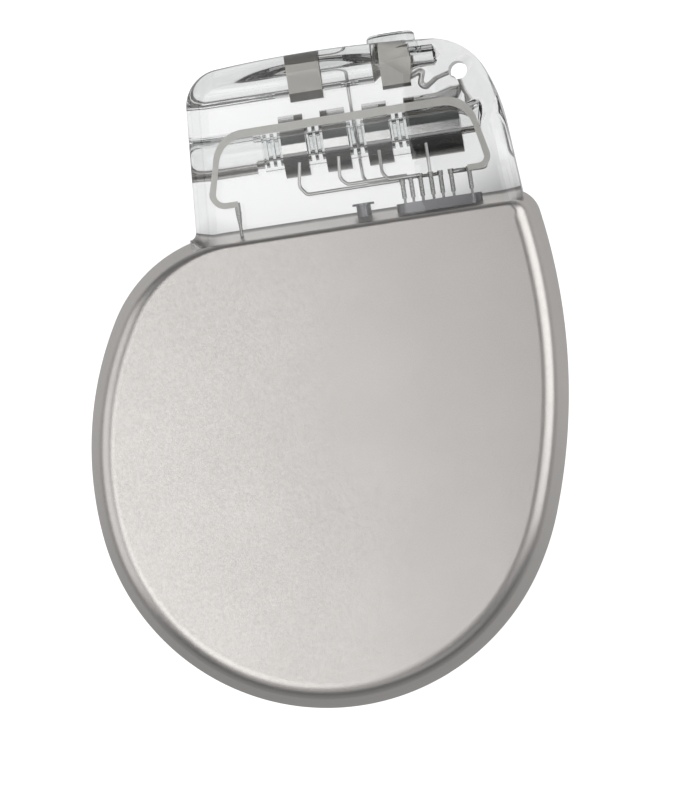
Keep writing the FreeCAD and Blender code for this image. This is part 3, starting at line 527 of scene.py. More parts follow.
def material(name):
    """Material of a record slot, made once."""
    if name in MATERIALS:
        return MATERIALS[name]
    finish = bpy.context.scene.can_finish
    makers = {
        "can_titanium": lambda: can_titanium(tuple(finish.colour), finish.roughness),
        "inner_titanium": lambda: metal("inner_titanium", (0.30, 0.30, 0.31), 0.35, 0.2, relief=0.003),
        "block_steel": lambda: ring_steel("block_steel", (0.62, 0.62, 0.61), 0.09),
        "block_satin": lambda: metal("block_satin", (0.47, 0.455, 0.425), 0.38, 0.09, relief=0.002),
        "spring_alloy": lambda: metal("spring_alloy", (0.72, 0.71, 0.69), 0.15, 0.05),
        "screw_titanium": lambda: metal("screw_titanium", (0.55, 0.55, 0.56), 0.28, 0.1),
        "antenna_metal": lambda: metal("antenna_metal", (0.60, 0.59, 0.56), 0.55, 0.15, relief=0.003),
        "wire_metal": lambda: metal("wire_metal", (0.86, 0.86, 0.84), 0.35, 0.1),
        "pin_metal": lambda: metal("pin_metal", (0.44, 0.44, 0.43), 0.28, 0.12, relief=0.002),
        "clear_resin": lambda: clear("clear_resin", (0.935, 0.94, 0.94), 1.53, 0.0, 0.004, 5.0),
        "clear_silicone": lambda: clear("clear_silicone", (0.93, 0.94, 0.94), 0.925, 0.06),
        "septum_silicone": lambda: clear("septum_silicone", (0.90, 0.91, 0.91), 0.925, 0.15),
        "feedthrough_glass": lambda: plain("feedthrough_glass", (0.10, 0.11, 0.13), 0.15),
        "liner_film": lambda: plain("liner_film", (0.80, 0.78, 0.72), 0.4),
        "frame_plastic": lambda: plain("frame_plastic", (0.82, 0.82, 0.80), 0.45),
        "battery_case": lambda: metal("battery_case", (0.60, 0.60, 0.60), 0.4, 0.3, relief=0.003),
        "capacitor_case": lambda: metal("capacitor_case", (0.75, 0.75, 0.76), 0.42, 0.3, relief=0.003),
        "board_green": lambda: plain("board_green", (0.03, 0.16, 0.08), 0.35),
        "chip_black": lambda: plain("chip_black", (0.02, 0.02, 0.02), 0.45),
        "ferrite": lambda: plain("ferrite", (0.05, 0.05, 0.05), 0.5),
        "copper": lambda: metal("copper", (0.70, 0.36, 0.20), 0.3, 0.15),
        "flex_amber": lambda: plain("flex_amber", (0.55, 0.28, 0.05), 0.3),
        "getter_grey": lambda: plain("getter_grey", (0.35, 0.35, 0.33), 0.7),
    }
    MATERIALS[name] = makers[name]()
    return MATERIALS[name]


# Can


class CanShape(bpy.types.PropertyGroup):
    bottom_radius: bpy.props.FloatProperty(
        name="Bottom radius", description="Radius of the can's round lower end, in millimetres", default=24.0
    )
    face_fillet: bpy.props.FloatProperty(
        name="Face rounding", description="Rounding from wall to flat face, in millimetres", default=1.8
    )
    top_fillet: bpy.props.FloatProperty(
        name="Top rounding", description="Rounding along the straight top, in millimetres", default=0.6
    )
    draft: bpy.props.FloatProperty(
        name="Wall draft", description="Lean of the walls, in degrees", default=12.0
    )
    wall: bpy.props.FloatProperty(
        name="Wall thickness", description="Thickness of the titanium sheet, in millimetres", default=0.35
    )


class CanFinish(bpy.types.PropertyGroup):
    colour: bpy.props.FloatVectorProperty(
        name="Colour",
        description="Colour of the bead-blasted titanium",
        subtype="COLOR",
        size=3,
        min=0.0,
        max=1.0,
        default=(0.74, 0.708, 0.681),
    )
    roughness: bpy.props.FloatProperty(
        name="Roughness", description="How matt the blasted surface is", default=0.36, min=0.0, max=1.0
    )


LOW_RIGHT = (28.1, -34.3, -20.2)
UP_RIGHT_RADIUS = 62.0
CORNER_RADIUS = 3.0
CAN_TOP = 26.5
SHOULDER_RADIUS = 14.65
LEFT_RADIUS = 35.5
LEFT_START = 186.5
FACE_Z = 12.0


def can_arcs(bottom):
    """Centre, radius and end directions of the can's arcs, counter-clockwise from the left flank."""
    low_radius, low_start, low_end = LOW_RIGHT
    low = polar((0.0, 0.0), bottom - low_radius, low_start)
    up = polar(low, low_radius - UP_RIGHT_RADIUS, low_end)
    corner_y = CAN_TOP - CORNER_RADIUS
    reach = UP_RIGHT_RADIUS - CORNER_RADIUS
    corner = (up[0] + math.sqrt(reach ** 2 - (corner_y - up[1]) ** 2), corner_y)
    left = polar((0.0, 0.0), bottom - LEFT_RADIUS, LEFT_START)
    shoulder_y = CAN_TOP - SHOULDER_RADIUS
    reach = LEFT_RADIUS - SHOULDER_RADIUS
    shoulder = (left[0] - math.sqrt(reach ** 2 - (shoulder_y - left[1]) ** 2), shoulder_y)
    corner_start = heading(up, corner)
    shoulder_end = heading(left, shoulder)
    return {
        "left": (left, LEFT_RADIUS, shoulder_end, LEFT_START),
        "bottom": ((0.0, 0.0), bottom, LEFT_START - 360.0, low_start),
        "low_right": (low, low_radius, low_start, low_end),
        "up_right": (up, UP_RIGHT_RADIUS, low_end, corner_start),
        "corner": (corner, CORNER_RADIUS, corner_start, 90.0),
        "shoulder": (shoulder, SHOULDER_RADIUS, 90.0, shoulder_end),
    }


def can_outline(bottom):
    """Points round the can, with the outward normal and how far round a top corner each is, 0 to 1."""
    arcs = can_arcs(bottom)
    step = 0.55
    outline = []
    for key in ("left", "bottom", "low_right", "up_right", "corner", "shoulder"):
        centre, radius, start, end = arcs[key]
        if key == "shoulder":
            right_end = outline_end
            count = 48
            for k in range(count):
                x = blend(right_end[0], centre[0], k / count)
                outline.append(((x, CAN_TOP), (0.0, 1.0), 1.0))
        count = max(16, round(radius * abs(math.radians((end - start) % 360.0)) / step))
        points = arc_points(centre, radius, start, start + (end - start) % 360.0, count)
        for k, (point, outward) in enumerate(points):
            share = {"corner": k / count, "shoulder": 1.0 - k / count}.get(key, 0.0)
            outline.append((point, outward, share))
        outline_end = polar(centre, radius, end)
    return outline


def can_rings(outline, shape, skin):
    """Inset and height above the seam for each profile row, at each outline point."""
    lean = math.radians(shape.draft)
    height = FACE_Z - MID_Z - skin
    rows = 14
    rings = []
    for point, outward, share in outline:
        radius = blend(shape.face_fillet, shape.top_fillet, share) - skin
        edge = skin + math.tan(lean) * height
        reach = radius * math.tan((math.pi / 2.0 - lean) / 2.0)
        column = [(skin, 0.0)]
        if skin == 0.0:
            column = [(0.0, 0.0), (0.012, 0.06), (math.tan(lean) * 0.3, 0.3)]
        wall_top = height - reach * math.cos(lean)
        for k in (1, 2, 3):
            rise = blend(column[-1][1], wall_top, k / 4.0) if k > 1 else 0.8
            column.append((skin + math.tan(lean) * rise, rise))
        for k in range(rows + 1):
            angle = lean + (math.pi / 2.0 - lean) * k / rows
            inset = edge + reach - radius * math.sin(math.pi / 2.0 - angle)
            column.append((inset, height - radius + radius * math.sin(angle)))
        column.append((edge + reach + 0.08, height))
        rings.append([(point[0] - outward[0] * i, point[1] - outward[1] * i, MID_Z + h) for i, h in column])
    return rings


def shell_half(name, front, shape):
    """One drawn half of the can, with its sheet's thickness."""
    outline = can_outline(shape.bottom_radius)
    vertices = []
    surfaces = []
    for skin in (0.0, shape.wall):
        columns = can_rings(outline, shape, skin)
        rings = []
        for row in range(len(columns[0])):
            ring = []
            for column in columns:
                x, y, z = column[row]
                vertices.append((x, y, z if front else 2.0 * MID_Z - z))
                ring.append(len(vertices) - 1)
            rings.append(ring)
        surfaces.append(rings)
    outer, inner = surfaces
    faces = rings_to_faces(outer) + rings_to_faces(inner) + rings_to_faces([outer[0], inner[0]])
    faces += [tuple(outer[-1]), tuple(inner[-1])]
    shell = mesh_object(name, vertices, faces)
    mark_sharp(shell, 40.0)
    weigh_normals(shell)
    return shell


class DEFIB_OT_can(bpy.types.Operator):
    """Draws the two titanium halves of the can"""

    bl_idname = "defib.can"
    bl_label = "Titanium Can"

    def execute(self, context):
        shape = context.scene.can_shape
        titanium = material("can_titanium")
        for node, front in (("can_front_shell", True), ("can_back_shell", False)):
            shell = shell_half(node.replace("shell", "half"), front, shape)
            dress(shell, titanium, replaces=(node,))
        path = []
        depth = WELD_SPOT[1]
        for point, outward, share in can_outline(shape.bottom_radius):
            if share < 0.6:
                path.append((point[0] - outward[0] * depth, point[1] - outward[1] * depth, MID_Z))
        bead = weld_bead("seam_weld_bead", path, WELD_PITCH, titanium)
        dress(bead, titanium)
        return {"FINISHED"}


# Header


class HeaderShape(bpy.types.PropertyGroup):
    edge: bpy.props.FloatProperty(
        name="Edge rounding", description="Rounding of the front and back edges, in millimetres", default=2.0
    )
    suture_radius: bpy.props.FloatProperty(
        name="Suture hole", description="Radius of the suture hole, in millimetres", default=0.95
    )


HEADER_TOP = 43.65
HEADER_BACK = 0.6
HEADER_FRONT = 11.4
CROWN = (5.25, 129.5, 84.6, 94.5)
RIGHT_CORNER = (6.2, 23.2)
RIGHT_FLANK_RADIUS = 18.1
RIGHT_TILT = 4.4
LEFT_CORNER_RADIUS = 3.9
LEFT_TILT = 4.2
FOOT_RADIUS = 0.75
SUTURE = (19.86, 39.4)


def header_path():
    """Outline of the resin from its right foot over the crown to its left foot, with outward normals."""
    crown_x, crown_radius, crown_right, crown_left = CROWN
    corner_radius, corner_end = RIGHT_CORNER
    crown = (crown_x, HEADER_TOP - crown_radius)
    corner = polar(crown, crown_radius - corner_radius, crown_right)
    flank = polar(corner, corner_radius - RIGHT_FLANK_RADIUS, corner_end)
    left = polar(crown, crown_radius - LEFT_CORNER_RADIUS, crown_left)
    right_top = polar(flank, RIGHT_FLANK_RADIUS, RIGHT_TILT)
    left_top = polar(left, LEFT_CORNER_RADIUS, 180.0 - LEFT_TILT)
    base = CAN_TOP - CORNER_RADIUS
    lean = math.tan(math.radians(LEFT_TILT))
    shoulder, shoulder_radius = can_arcs(24.0)["shoulder"][:2]

    def left_wall(y):
        return left_top[0] - (left_top[1] - y) * lean

    foot_x = left_wall(CAN_TOP)
    foot_y = shoulder[1] + math.sqrt(shoulder_radius ** 2 - (foot_x - shoulder[0]) ** 2)
    right_base = right_top[0] + (right_top[1] - base) * math.tan(math.radians(RIGHT_TILT))
    right_normal = polar((0.0, 0.0), 1.0, RIGHT_TILT)
    left_normal = polar((0.0, 0.0), 1.0, 180.0 - LEFT_TILT)
    path = [((right_base, base), (1.0, 0.0))]
    for k in range(1, 12):
        share = k / 12.0
        point = (blend(right_base, right_top[0], share), blend(base, right_top[1], share))
        path.append((point, right_normal))
    path += arc_points(flank, RIGHT_FLANK_RADIUS, RIGHT_TILT, corner_end, 20)
    path += arc_points(corner, corner_radius, corner_end, crown_right, 28)
    path += arc_points(crown, crown_radius, crown_right, crown_left, 64)
    path += arc_points(left, LEFT_CORNER_RADIUS, crown_left, 180.0 - LEFT_TILT, 28)
    foot = (left_wall(foot_y + FOOT_RADIUS) - FOOT_RADIUS, foot_y + FOOT_RADIUS)
    for k in range(12):
        share = k / 12.0
        y = blend(left_top[1], foot[1], share)
        path.append(((left_wall(y), y), left_normal))
    path += arc_points(foot, -FOOT_RADIUS, -LEFT_TILT, -82.0, 12)
    last = polar(foot, FOOT_RADIUS, -88.0)
    path.append((last, (-1.0, 1.0)))
    path.append(((last[0], base), (-1.0, 0.0)))
    return path


def header_block(edge):
    """Block of resin with rounded front and back edges, carried down into the can."""
    path = header_path()
    middle = (HEADER_BACK + HEADER_FRONT) / 2.0
    half = (HEADER_FRONT - HEADER_BACK) / 2.0
    rows = 18
    column = [(edge + 0.1, -half)]
    for k in range(rows + 1):
        angle = math.pi / 2.0 * k / rows
        column.append((edge - edge * math.sin(angle), -half + edge - edge * math.cos(angle)))
    column += [(inset, -height) for inset, height in reversed(column)]
    vertices = []
    rings = []
    for inset, height in column:
        ring = []
        for point, outward in path:
            vertices.append((point[0] - outward[0] * inset, point[1] - outward[1] * inset, middle + height))
            ring.append(len(vertices) - 1)
        rings.append(ring)
    faces = rings_to_faces(rings) + [tuple(rings[0]), tuple(rings[-1])]
    return mesh_object("header_resin", vertices, faces)


DF4_Y = 34.27
DF4_MOUTH = 2.4
DF4_NECK = 1.95
DF4_LEAD = 1.65
DF4_PIN = 0.85
DF4_FIRST_RING = 0.67
DF4_PITCH = 4.37
DF4_RING_LENGTH = 2.55
DF4_RINGS = 3
DF4_BLOCK_LENGTH = 5.5
DF4_END = (1.5, 1.9, 0.6)
ENTRY_SEAL = 2.03
NECK_LENGTH = 0.78
SEAL_RADII = (2.35, 2.35, 2.35, 2.75)
SEAL_GROOVE = 2.0
SEAL_LIP = 1.35
SEAL_LIP_WIDTH = 0.43
SEAL_LIP_TAPER = 0.05
IS1_Y = 41.0
IS1_BORE = 1.7
IS1_INNER = 1.6
RING_BLOCK = (2.26, 5.71)
TIP_BLOCK = (11.9, 14.85)
TIP_END = (1.15, 2.4, 0.65)
DF4_MOUTH_ROUND = 0.8
IS1_MOUTH_ROUND = 0.9
SCOOP = (17.6, 37.1, 51.0)
SCOOP_ROUND = 4.0
SCOOP_SLOPE = 20.0
FILM = 0.012
HIDE = 0.03


def seal_spans():
    """Start and end along X of each silicone seal."""
    spans = [(DF4_FIRST_RING - ENTRY_SEAL, DF4_FIRST_RING)]
    for index in range(DF4_RINGS):
        start = DF4_FIRST_RING + index * DF4_PITCH + DF4_RING_LENGTH
        spans.append((start, DF4_FIRST_RING + (index + 1) * DF4_PITCH))
    return spans


def seal_way(start, end, back_off=0.0):
    """Lead way through a seal, in the order of x: grooves with two lips between them."""
    groove = (DF4_PITCH - DF4_RING_LENGTH - 2.0 * SEAL_LIP_WIDTH) / 3.0
    first = end - 3.0 * groove - 2.0 * SEAL_LIP_WIDTH
    way = []
    if first > start + 0.01:
        way += [(start, DF4_LEAD + back_off), (first - back_off, DF4_LEAD + back_off)]
        way += [(first - back_off, SEAL_GROOVE + back_off)]
    else:
        way += [(start, SEAL_GROOVE + back_off)]
    for lip in (0, 1):
        low = first + groove + lip * (groove + SEAL_LIP_WIDTH) + back_off
        high = low + SEAL_LIP_WIDTH - 2.0 * back_off
        way.append((low, SEAL_GROOVE + back_off))
        way.append((low + SEAL_LIP_TAPER, SEAL_LIP + back_off))
        way.append((high - SEAL_LIP_TAPER, SEAL_LIP + back_off))
        way.append((high, SEAL_GROOVE + back_off))
    way.append((end, SEAL_GROOVE + back_off))
    return way


def mouth_x(y):
    """Place of the header's left wall at a height."""
    left = [p for p, n in header_path() if n == polar((0.0, 0.0), 1.0, 180.0 - LEFT_TILT)]
    (x0, y0), (x1, y1) = left[0], left[-1]
    return x0 + (x1 - x0) * (y - y0) / (y1 - y0)


def mouth_profile(y, radius, rim):
    """Rounded mouth of a bore, from outside the wall inwards."""
    wall = mouth_x(y)
    profile = [(wall - 1.0, 0.0), (wall - 1.0, radius + rim)]
    steps = 10
    for k in range(steps + 1):
        angle = math.pi / 2.0 * k / steps
        spread = rim * math.sin(math.acos(1.0 - math.sin(angle)))
        profile.append((wall + rim * math.sin(angle), radius + rim - spread))
    return profile


def lower_air():
    """Air in the lower port, from its mouth to its blind end behind the tip block."""
    profile = mouth_profile(DF4_Y, DF4_MOUTH, DF4_MOUTH_ROUND)
    spans = seal_spans()
    neck = spans[0][0] - NECK_LENGTH
    profile += [(neck, DF4_MOUTH), (neck, DF4_NECK), (spans[0][0], DF4_NECK)]
    for start, end in spans:
        way = seal_way(start, end)
        profile += way[:-1] + [(end + HIDE, way[-1][1]), (end + HIDE, DF4_LEAD + 0.05)]
        if end != spans[-1][1]:
            after = end + DF4_RING_LENGTH - HIDE
            profile += [(after, DF4_LEAD + 0.05), (after, SEAL_GROOVE)]
    block = spans[-1][1]
    tail = block + DF4_BLOCK_LENGTH
    radius, length, cone = DF4_END
    profile += [(block + 2.0 * HIDE, DF4_LEAD + 0.05), (block + 2.0 * HIDE, DF4_PIN + 0.05)]
    profile += [(tail - HIDE, DF4_PIN + 0.05), (tail - HIDE, radius)]
    profile += [(tail + length, radius), (tail + length + cone, 0.0)]
    return turned("lower_air", profile, (0.0, DF4_Y, MID_Z))


def upper_air(extra=0.0):
    """Air in the upper port, from its mouth to the blind end, wider by an extra radius."""
    radius, length, cone = TIP_END
    profile = mouth_profile(IS1_Y, IS1_BORE, IS1_MOUTH_ROUND)
    profile += [(RING_BLOCK[0] + HIDE, IS1_BORE), (RING_BLOCK[0] + HIDE, IS1_INNER)]
    profile += [(TIP_BLOCK[0] - 0.8, IS1_INNER), (TIP_BLOCK[0] + HIDE, DF4_PIN + 0.05)]
    profile += [(TIP_BLOCK[1] - HIDE, DF4_PIN + 0.05), (TIP_BLOCK[1] - HIDE, radius)]
    profile += [(TIP_BLOCK[1] + length, radius), (TIP_BLOCK[1] + length + cone, 0.0)]
    profile = [(along, reach + extra if reach else 0.0) for along, reach in profile]
    return turned("upper_air", profile, (0.0, IS1_Y, MID_Z))


SEPTUM = (2.5, 44.35, 0.55)
SCREW_SPACE = 1.0
SCREW_SPACE_TOP = 43.45
SEPTUM_FOOT = 41.35
SLIT = (1.7, 0.12, 0.45)
BACK_SEPTUM = (1.7, 1.7)


def tool_cylinder(name, radius, low, high, centre, axis, round_top=0.0, segments=96):
    profile = [(low, 0.0), (low, radius)]
    if round_top:
        for k in range(11):
            angle = math.pi / 2.0 * k / 10
            along = high - round_top + round_top * math.sin(angle)
            profile.append((along, radius - round_top + round_top * math.cos(angle)))
    else:
        profile.append((high, radius))
    profile.append((high, 0.0))
    return turned(name, profile, centre, axis, segments)


def top_septum():
    """Silicone dome over the upper screw, with its skirt round the block and its slits for the driver."""
    radius, top, rim = SEPTUM
    tip_x = (TIP_BLOCK[0] + TIP_BLOCK[1]) / 2.0
    profile = [(SEPTUM_FOOT, SCREW_SPACE), (SEPTUM_FOOT, radius)]
    steps = 10
    for k in range(steps + 1):
        angle = math.pi / 2.0 * k / steps
        profile.append((top - rim + rim * math.sin(angle), radius - rim + rim * math.cos(angle)))
    profile += [(top, 0.0), (SCREW_SPACE_TOP, 0.0), (SCREW_SPACE_TOP, SCREW_SPACE), profile[0]]
    dome = turned("top_septum", profile, (tip_x, 0.0, MID_Z), "Y")
    cut_or_join(dome, upper_air(FILM), "DIFFERENCE")
    length, width, depth = SLIT
    for turn in (0.0, 90.0):
        along = Vector(polar((0.0, 0.0), length / 2.0, turn))
        across = Vector(polar((0.0, 0.0), width / 2.0, turn + 90.0))
        corners = []
        for y in (top - depth, top + 1.0):
            for x, z in (along + across, along - across, -along - across, -along + across):
                corners.append((tip_x + x, y, MID_Z + z))
        low, high = list(range(4)), list(range(4, 8))
        slit = mesh_object("slit", corners, rings_to_faces([low, high]) + [tuple(low), tuple(high)], False)
        cut_or_join(dome, slit, "DIFFERENCE")
    mark_sharp(dome, 32.0)
    return dome


def scoop(front):
    """Space in front of or behind the header's thinner corner: a rounded start, then an even slope."""
    face = HEADER_FRONT
    profile = [(0.0, face + 1.0)]
    steps = 12
    for k in range(steps + 1):
        angle = math.radians(SCOOP_SLOPE) * k / steps
        profile.append((SCOOP_ROUND * math.sin(angle), face - SCOOP_ROUND * (1.0 - math.cos(angle))))
    far, low = profile[-1]
    profile.append((far + 17.0, low - 17.0 * math.tan(math.radians(SCOOP_SLOPE))))
    profile.append((far + 17.0, face + 1.0))
    x, y, turn = SCOOP
    side = math.radians(turn)
    vertices = []
    for width in (-17.0, 17.0):
        for along, height in profile:
            place_x = x + along * math.cos(side) - width * math.sin(side)
            place_y = y + along * math.sin(side) + width * math.cos(side)
            vertices.append((place_x, place_y, height if front else 2.0 * MID_Z - height))
    count = len(profile)
    near = list(range(count))
    away = list(range(count, 2 * count))
    return mesh_object("scoop", vertices, rings_to_faces([near, away]) + [tuple(near), tuple(away)])


class DEFIB_OT_header(bpy.types.Operator):
    """Casts the clear resin of the header round its bores"""

    bl_idname = "defib.header"
    bl_label = "Clear Header"

    def execute(self, context):
        shape = context.scene.header_shape
        resin = header_block(shape.edge)
        for front in (True, False):
            cut_or_join(resin, scoop(front), "DIFFERENCE")
        tip_x = (TIP_BLOCK[0] + TIP_BLOCK[1]) / 2.0
        block_start = DF4_FIRST_RING + DF4_RINGS * DF4_PITCH
        block_x = block_start + DF4_BLOCK_LENGTH / 2.0
        radius, top, rim = SEPTUM
        boss = tool_cylinder("boss", radius + FILM, IS1_Y, top + FILM, (tip_x, 0.0, MID_Z), "Y", rim)
        cut_or_join(resin, boss, "UNION")
        radius, inner = BACK_SEPTUM
        boss = tool_cylinder("boss", radius + FILM, HEADER_BACK - FILM, inner, (block_x, DF4_Y, 0.0), "Z")
        cut_or_join(resin, boss, "UNION")
        for air in (lower_air(), upper_air()):
            cut_or_join(resin, air, "DIFFERENCE")
        pocket = SCREW_SPACE - FILM
        for spot, low, high, axis in (
            ((tip_x, 0.0, MID_Z), IS1_Y, SCREW_SPACE_TOP - FILM, "Y"),
            ((block_x, DF4_Y, 0.0), inner + FILM, MID_Z, "Z"),
        ):
            cut_or_join(resin, tool_cylinder("screw_pocket", pocket, low, high, spot, axis), "DIFFERENCE")
        hole = tool_cylinder("hole", shape.suture_radius, 0.0, FACE_Z, (SUTURE[0], SUTURE[1], 0.0), "Z")
        cut_or_join(resin, hole, "DIFFERENCE")
        mark_sharp(resin, 28.0)
        weigh_normals(resin)
        dress(resin, material("clear_resin"), replaces=("header",))
        return {"FINISHED"}


class DEFIB_OT_seals(bpy.types.Operator):
    """Moulds the lipped silicone seals of the lower port"""

    bl_idname = "defib.seals"
    bl_label = "Silicone Seals"

    def execute(self, context):
        for index, (start, end) in enumerate(seal_spans()):
            way = seal_way(start + FILM, end - FILM, FILM)
            radius = SEAL_RADII[index]
            profile = way + [(end - FILM, radius), (start + FILM, radius), way[0]]
            seal = turned("seal_%d" % (index + 1), profile, (0.0, DF4_Y, MID_Z))
            mark_sharp(seal, 32.0)
            dress(seal, material("clear_silicone"), replaces=("df4_seal_%d" % (index + 1),))
        silicone = material("septum_silicone")
        dress(top_septum(), silicone, replaces=("is1_septum",))
        dress(cad_copy("df4_septum"), silicone, replaces=("df4_septum",))
        return {"FINISHED"}


CONNECTOR_STEEL = ("df4_contact_ring_1", "df4_contact_ring_2", "df4_contact_ring_3", "df4_tip_block")
CONNECTOR_STEEL += ("is1_ring_block", "is1_tip_block")
SPRING_WIRE = 0.07
DF4_SPRING_RING = 1.975
DF4_SPRING_COIL = 0.325
DF4_SPRING_TURNS = 34
WIRES = ("df4_ring_wire_1", "df4_ring_wire_2", "df4_ring_wire_3", "df4_tip_wire")
WIRES += ("is1_ring_wire", "is1_tip_wire")


class DEFIB_OT_connectors(bpy.types.Operator):
    """Finishes the rings, blocks, screws and springs of both ports"""

    bl_idname = "defib.connectors"
    bl_label = "Connector Metal"

    def execute(self, context):
        for node in CONNECTOR_STEEL:
            finish = "block_satin" if node.startswith("is1") else "block_steel"
            dress(cad_copy(node), material(finish), replaces=(node,))
        alloy = material("spring_alloy")
        nodes = [entry["node"] for entry in frame["record"]["subparts"]]
        for node in [node for node in nodes if "contact_spring" in node]:
            low, high = node_box(node)
            middle = [(a + b) / 2.0 for a, b in zip(low, high)]
            coil = (high[0] - low[0]) / 2.0
            reach = (high[1] - low[1]) / 2.0
            ring = reach - coil
            turns = round(DF4_SPRING_TURNS * ring * DF4_SPRING_COIL / (DF4_SPRING_RING * coil))
            loop = coil - SPRING_WIRE
            spring = canted_spring(node + "_coils", middle, ring, loop, SPRING_WIRE, turns, alloy)
            dress(spring, alloy, replaces=(node,))
        for node, body in (("is1_setscrew", "upper_setscrew"), ("df4_setscrew", "lower_setscrew")):
            dress(cad_copy(node), material("screw_titanium"), body, (node,))
        return {"FINISHED"}


class DEFIB_OT_wiring(bpy.types.Operator):
    """Finishes the antenna, wires, crimp sleeves, feedthrough and posts"""

    bl_idname = "defib.wiring"
    bl_label = "Antenna and Wiring"

    def execute(self, context):
        finishes = {node: "wire_metal" for node in WIRES}
        finishes["telemetry_antenna"] = "antenna_metal"
        finishes["crimp_sleeves"] = "pin_metal"
        finishes["feedthrough_pins"] = "pin_metal"
        finishes["antenna_anchor_pin"] = "pin_metal"
        finishes["feedthrough_insulators"] = "feedthrough_glass"
        finishes["feedthrough_ferrule"] = "inner_titanium"
        finishes["header_post"] = "inner_titanium"
        for node, finish in finishes.items():
            dress(cad_copy(node), material(finish), replaces=(node,))
        return {"FINISHED"}


class DEFIB_OT_inside(bpy.types.Operator):
    """Gives the parts sealed inside the can their own finishes"""

    bl_idname = "defib.inside"
    bl_label = "Parts Inside the Can"

    def execute(self, context):
        for entry in frame["record"]["subparts"]:
            node = bpy.data.objects[entry["node"]]
            if node.hide_render:
                continue
            node.data.materials.clear()
            node.data.materials.append(material(entry["material_slot"]))
        return {"FINISHED"}


# Studio


class StudioSetup(bpy.types.PropertyGroup):
    turn: bpy.props.FloatProperty(
        name="Turn", description="Turn of the picture about the line of sight, in degrees", default=-8.7
    )
    distance: bpy.props.FloatProperty(
        name="Camera distance", description="From the camera to the object", default=1.2, unit="LENGTH"
    )
    picture_width: bpy.props.FloatProperty(
        name="Picture width", description="Width shown at mid-thickness", default=0.07052, unit="LENGTH"
    )
    centre: bpy.props.FloatVectorProperty(
        name="Centre",
        description="Point that the middle of the picture shows, in millimetres",
        size=2,
        default=(2.604, 7.594),
    )
    lean_right: bpy.props.FloatProperty(
        name="Lean right", description="How far right of square the camera stands, in degrees", default=2.15
    )
    lean_up: bpy.props.FloatProperty(
        name="Lean up", description="How far above square the camera stands, in degrees", default=0.0
    )


LAMPS = (
    ("softbox_overhead", (-0.10, -0.09, 0.34), (-0.10, -0.09, 0.0), (0.21, 0.36), 1.45),
    ("softbox_front", (0.0, -0.42, 0.30), (0.0, 0.0, 0.10), (0.60, 0.20), 0.38),
    ("softbox_right", (0.32, 0.03, 0.26), (0.0, 0.03, 0.20), (0.36, 0.46), 1.35),
    ("softbox_left", (-0.35, 0.06, 0.17), (0.0, 0.06, 0.08), (0.45, 0.34), 0.85),
    ("softbox_rear", (0.05, 0.42, 0.10), (0.0, 0.0, 0.06), (0.60, 0.16), 0.22),
)


def area_light(name, place, aim, size, brightness):
    """Softbox whose face is as bright as given, with 1 for the white of the picture."""
    data = bpy.data.lights.new(name, "AREA")
    data.shape = "RECTANGLE"
    data.size, data.size_y = size
    data.energy = brightness * math.pi * size[0] * size[1]
    lamp = bpy.data.objects.new(name, data)
    bpy.context.scene.collection.objects.link(lamp)
    lamp.location = place
    lamp.rotation_euler = (Vector(aim) - Vector(place)).to_track_quat("-Z", "Y").to_euler()
    return lamp


# Painted glow of the floor as metal and resin see it, fading away from the header.
FLOOR_IN_METAL = 0.32
FLOOR_IN_RESIN = 0.73
FLOOR_FADE_CENTRE = (5.3, 35.0)
FADE_IN_METAL = (1.0, 0.040, 0.075, 0.10)
FADE_IN_RESIN = (1.9, 0.0175, 0.027, 0.05)


def white_floor():
    """White floor. Metal and resin see it dimmer, and dimmer still away from the header: a painted glow that
    only reflections and the resin show.
    """
    recipe = Recipe("studio_floor")
    recipe.set(Base_Color=(0.35, 0.35, 0.35, 1.0), Roughness=0.9)
    path = recipe.add("ShaderNodeLightPath")
    glow = path.outputs["Is Camera Ray"]
    # Painted glow for reflections and for the resin, fading away from the header.
    for ray, strength, (stretch, near, far, dim) in (
        ("Is Glossy Ray", FLOOR_IN_METAL, FADE_IN_METAL),
        ("Is Transmission Ray", FLOOR_IN_RESIN, FADE_IN_RESIN),
    ):
        centre = (FLOOR_FADE_CENTRE[0] * MM, FLOOR_FADE_CENTRE[1] * MM * stretch, 0.0)
        inputs = {0: recipe.stretched((1.0, stretch, 1.0)), 1: centre}
        away = recipe.add("ShaderNodeVectorMath", inputs, operation="DISTANCE").outputs["Value"]
        faded = recipe.ramp(away, near, far, strength, strength * dim)
        glow = recipe.maths("MAXIMUM", glow, recipe.maths("MULTIPLY", path.outputs[ray], faded))
    recipe.set(Emission_Color=(1.0, 1.0, 1.0, 1.0), Emission_Strength=glow)
    size = 1.5
    corners = [(x * size / MM, y * size / MM, 0.0) for x, y in ((-1, -1), (1, -1), (1, 1), (-1, 1))]
    floor = mesh_object("studio_floor", corners, [(0, 1, 2, 3)])
    if floor.data.polygons[0].normal.z < 0:
        floor.data.flip_normals()
    floor.data.materials.append(recipe.material)


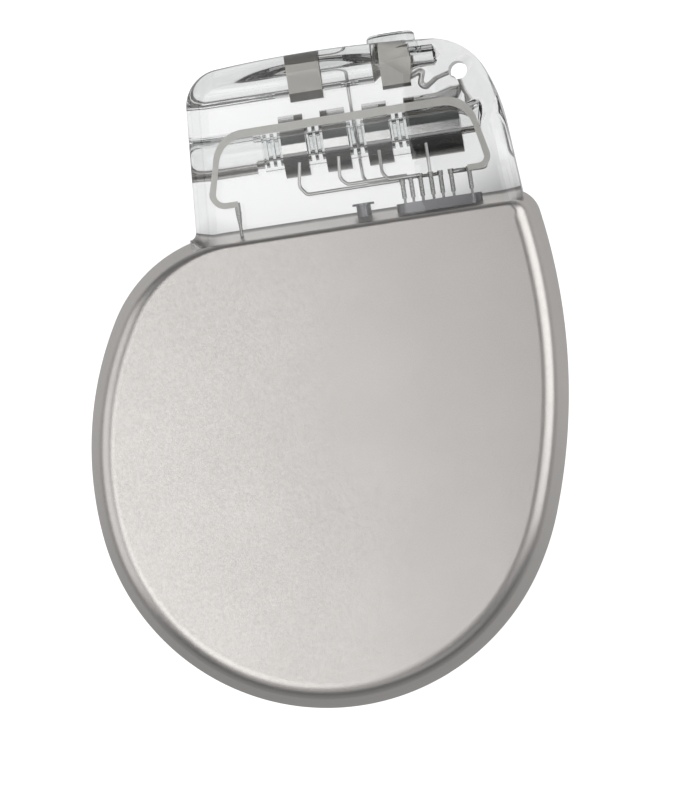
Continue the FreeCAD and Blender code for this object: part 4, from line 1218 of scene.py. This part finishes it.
class DEFIB_OT_studio(bpy.types.Operator):
    """Sets the pale floor, the soft light and the camera above the part"""

    bl_idname = "defib.studio"
    bl_label = "Studio"

    def execute(self, context):
        scene = context.scene
        setup = scene.studio_setup
        white_floor()
        world = bpy.data.worlds.new("studio_room")
        world.use_nodes = True
        tree = world.node_tree
        room = tree.nodes["Background"]
        room.inputs["Color"].default_value = (0.95, 0.97, 1.0, 1.0)
        sight = tree.nodes.new("ShaderNodeLightPath")
        level = tree.nodes.new("ShaderNodeMapRange")
        level.inputs["To Min"].default_value = 0.10
        level.inputs["To Max"].default_value = 1.0
        tree.links.new(sight.outputs["Is Camera Ray"], level.inputs["Value"])
        tree.links.new(level.outputs["Result"], room.inputs["Strength"])
        scene.world = world
        middle = Vector((setup.centre[0] * MM, setup.centre[1] * MM, MID_Z * MM))
        for lamp in LAMPS:
            area_light(*lamp)
        data = bpy.data.cameras.new("photo_camera")
        data.sensor_fit = "HORIZONTAL"
        data.lens = data.sensor_width * setup.distance / setup.picture_width
        data.clip_start = 0.01
        camera = bpy.data.objects.new("photo_camera", data)
        scene.collection.objects.link(camera)
        turn = math.radians(setup.turn)
        right = Vector((math.cos(turn), math.sin(turn), 0.0))
        up = Vector((-math.sin(turn), math.cos(turn), 0.0))
        sideways = math.tan(math.radians(setup.lean_right))
        upwards = math.tan(math.radians(setup.lean_up))
        toward = UP + right * sideways + up * upwards
        toward.normalize()
        side = up.cross(toward).normalized()
        above = toward.cross(side)
        place = Matrix.Translation(middle + toward * setup.distance)
        camera.matrix_world = place @ Matrix((side, above, toward)).transposed().to_4x4()
        scene.camera = camera
        scene.view_settings.view_transform = "Standard"
        return {"FINISHED"}


class DEFIB_PT_panel(bpy.types.Panel):
    """Lists the steps that dress the frame"""

    bl_idname = "DEFIB_PT_panel"
    bl_label = "Implantable Defibrillator"
    bl_space_type = "VIEW_3D"
    bl_region_type = "UI"
    bl_category = "Defibrillator"

    def draw(self, context):
        layout = self.layout
        for name in GROUPS:
            group = getattr(context.scene, name)
            box = layout.box()
            for key in group.bl_rna.properties.keys():
                if key not in ("rna_type", "name"):
                    box.prop(group, key)
        for step in STEPS:
            layout.operator(step.bl_idname)


STEPS = (
    DEFIB_OT_can,
    DEFIB_OT_header,
    DEFIB_OT_seals,
    DEFIB_OT_connectors,
    DEFIB_OT_wiring,
    DEFIB_OT_inside,
    DEFIB_OT_studio,
)
GROUPS = {
    "can_shape": CanShape,
    "can_finish": CanFinish,
    "header_shape": HeaderShape,
    "studio_setup": StudioSetup,
}


def register():
    for kind in tuple(GROUPS.values()) + STEPS + (DEFIB_PT_panel,):
        bpy.utils.register_class(kind)
    for name, kind in GROUPS.items():
        setattr(bpy.types.Scene, name, bpy.props.PointerProperty(type=kind))


def unregister():
    for name in GROUPS:
        delattr(bpy.types.Scene, name)
    for kind in (DEFIB_PT_panel,) + STEPS[::-1] + tuple(GROUPS.values()):
        bpy.utils.unregister_class(kind)


def main():
    register()
    for step in STEPS:
        group, call = step.bl_idname.split(".")
        getattr(getattr(bpy.ops, group), call)()


if __name__ == "__main__":
    main()
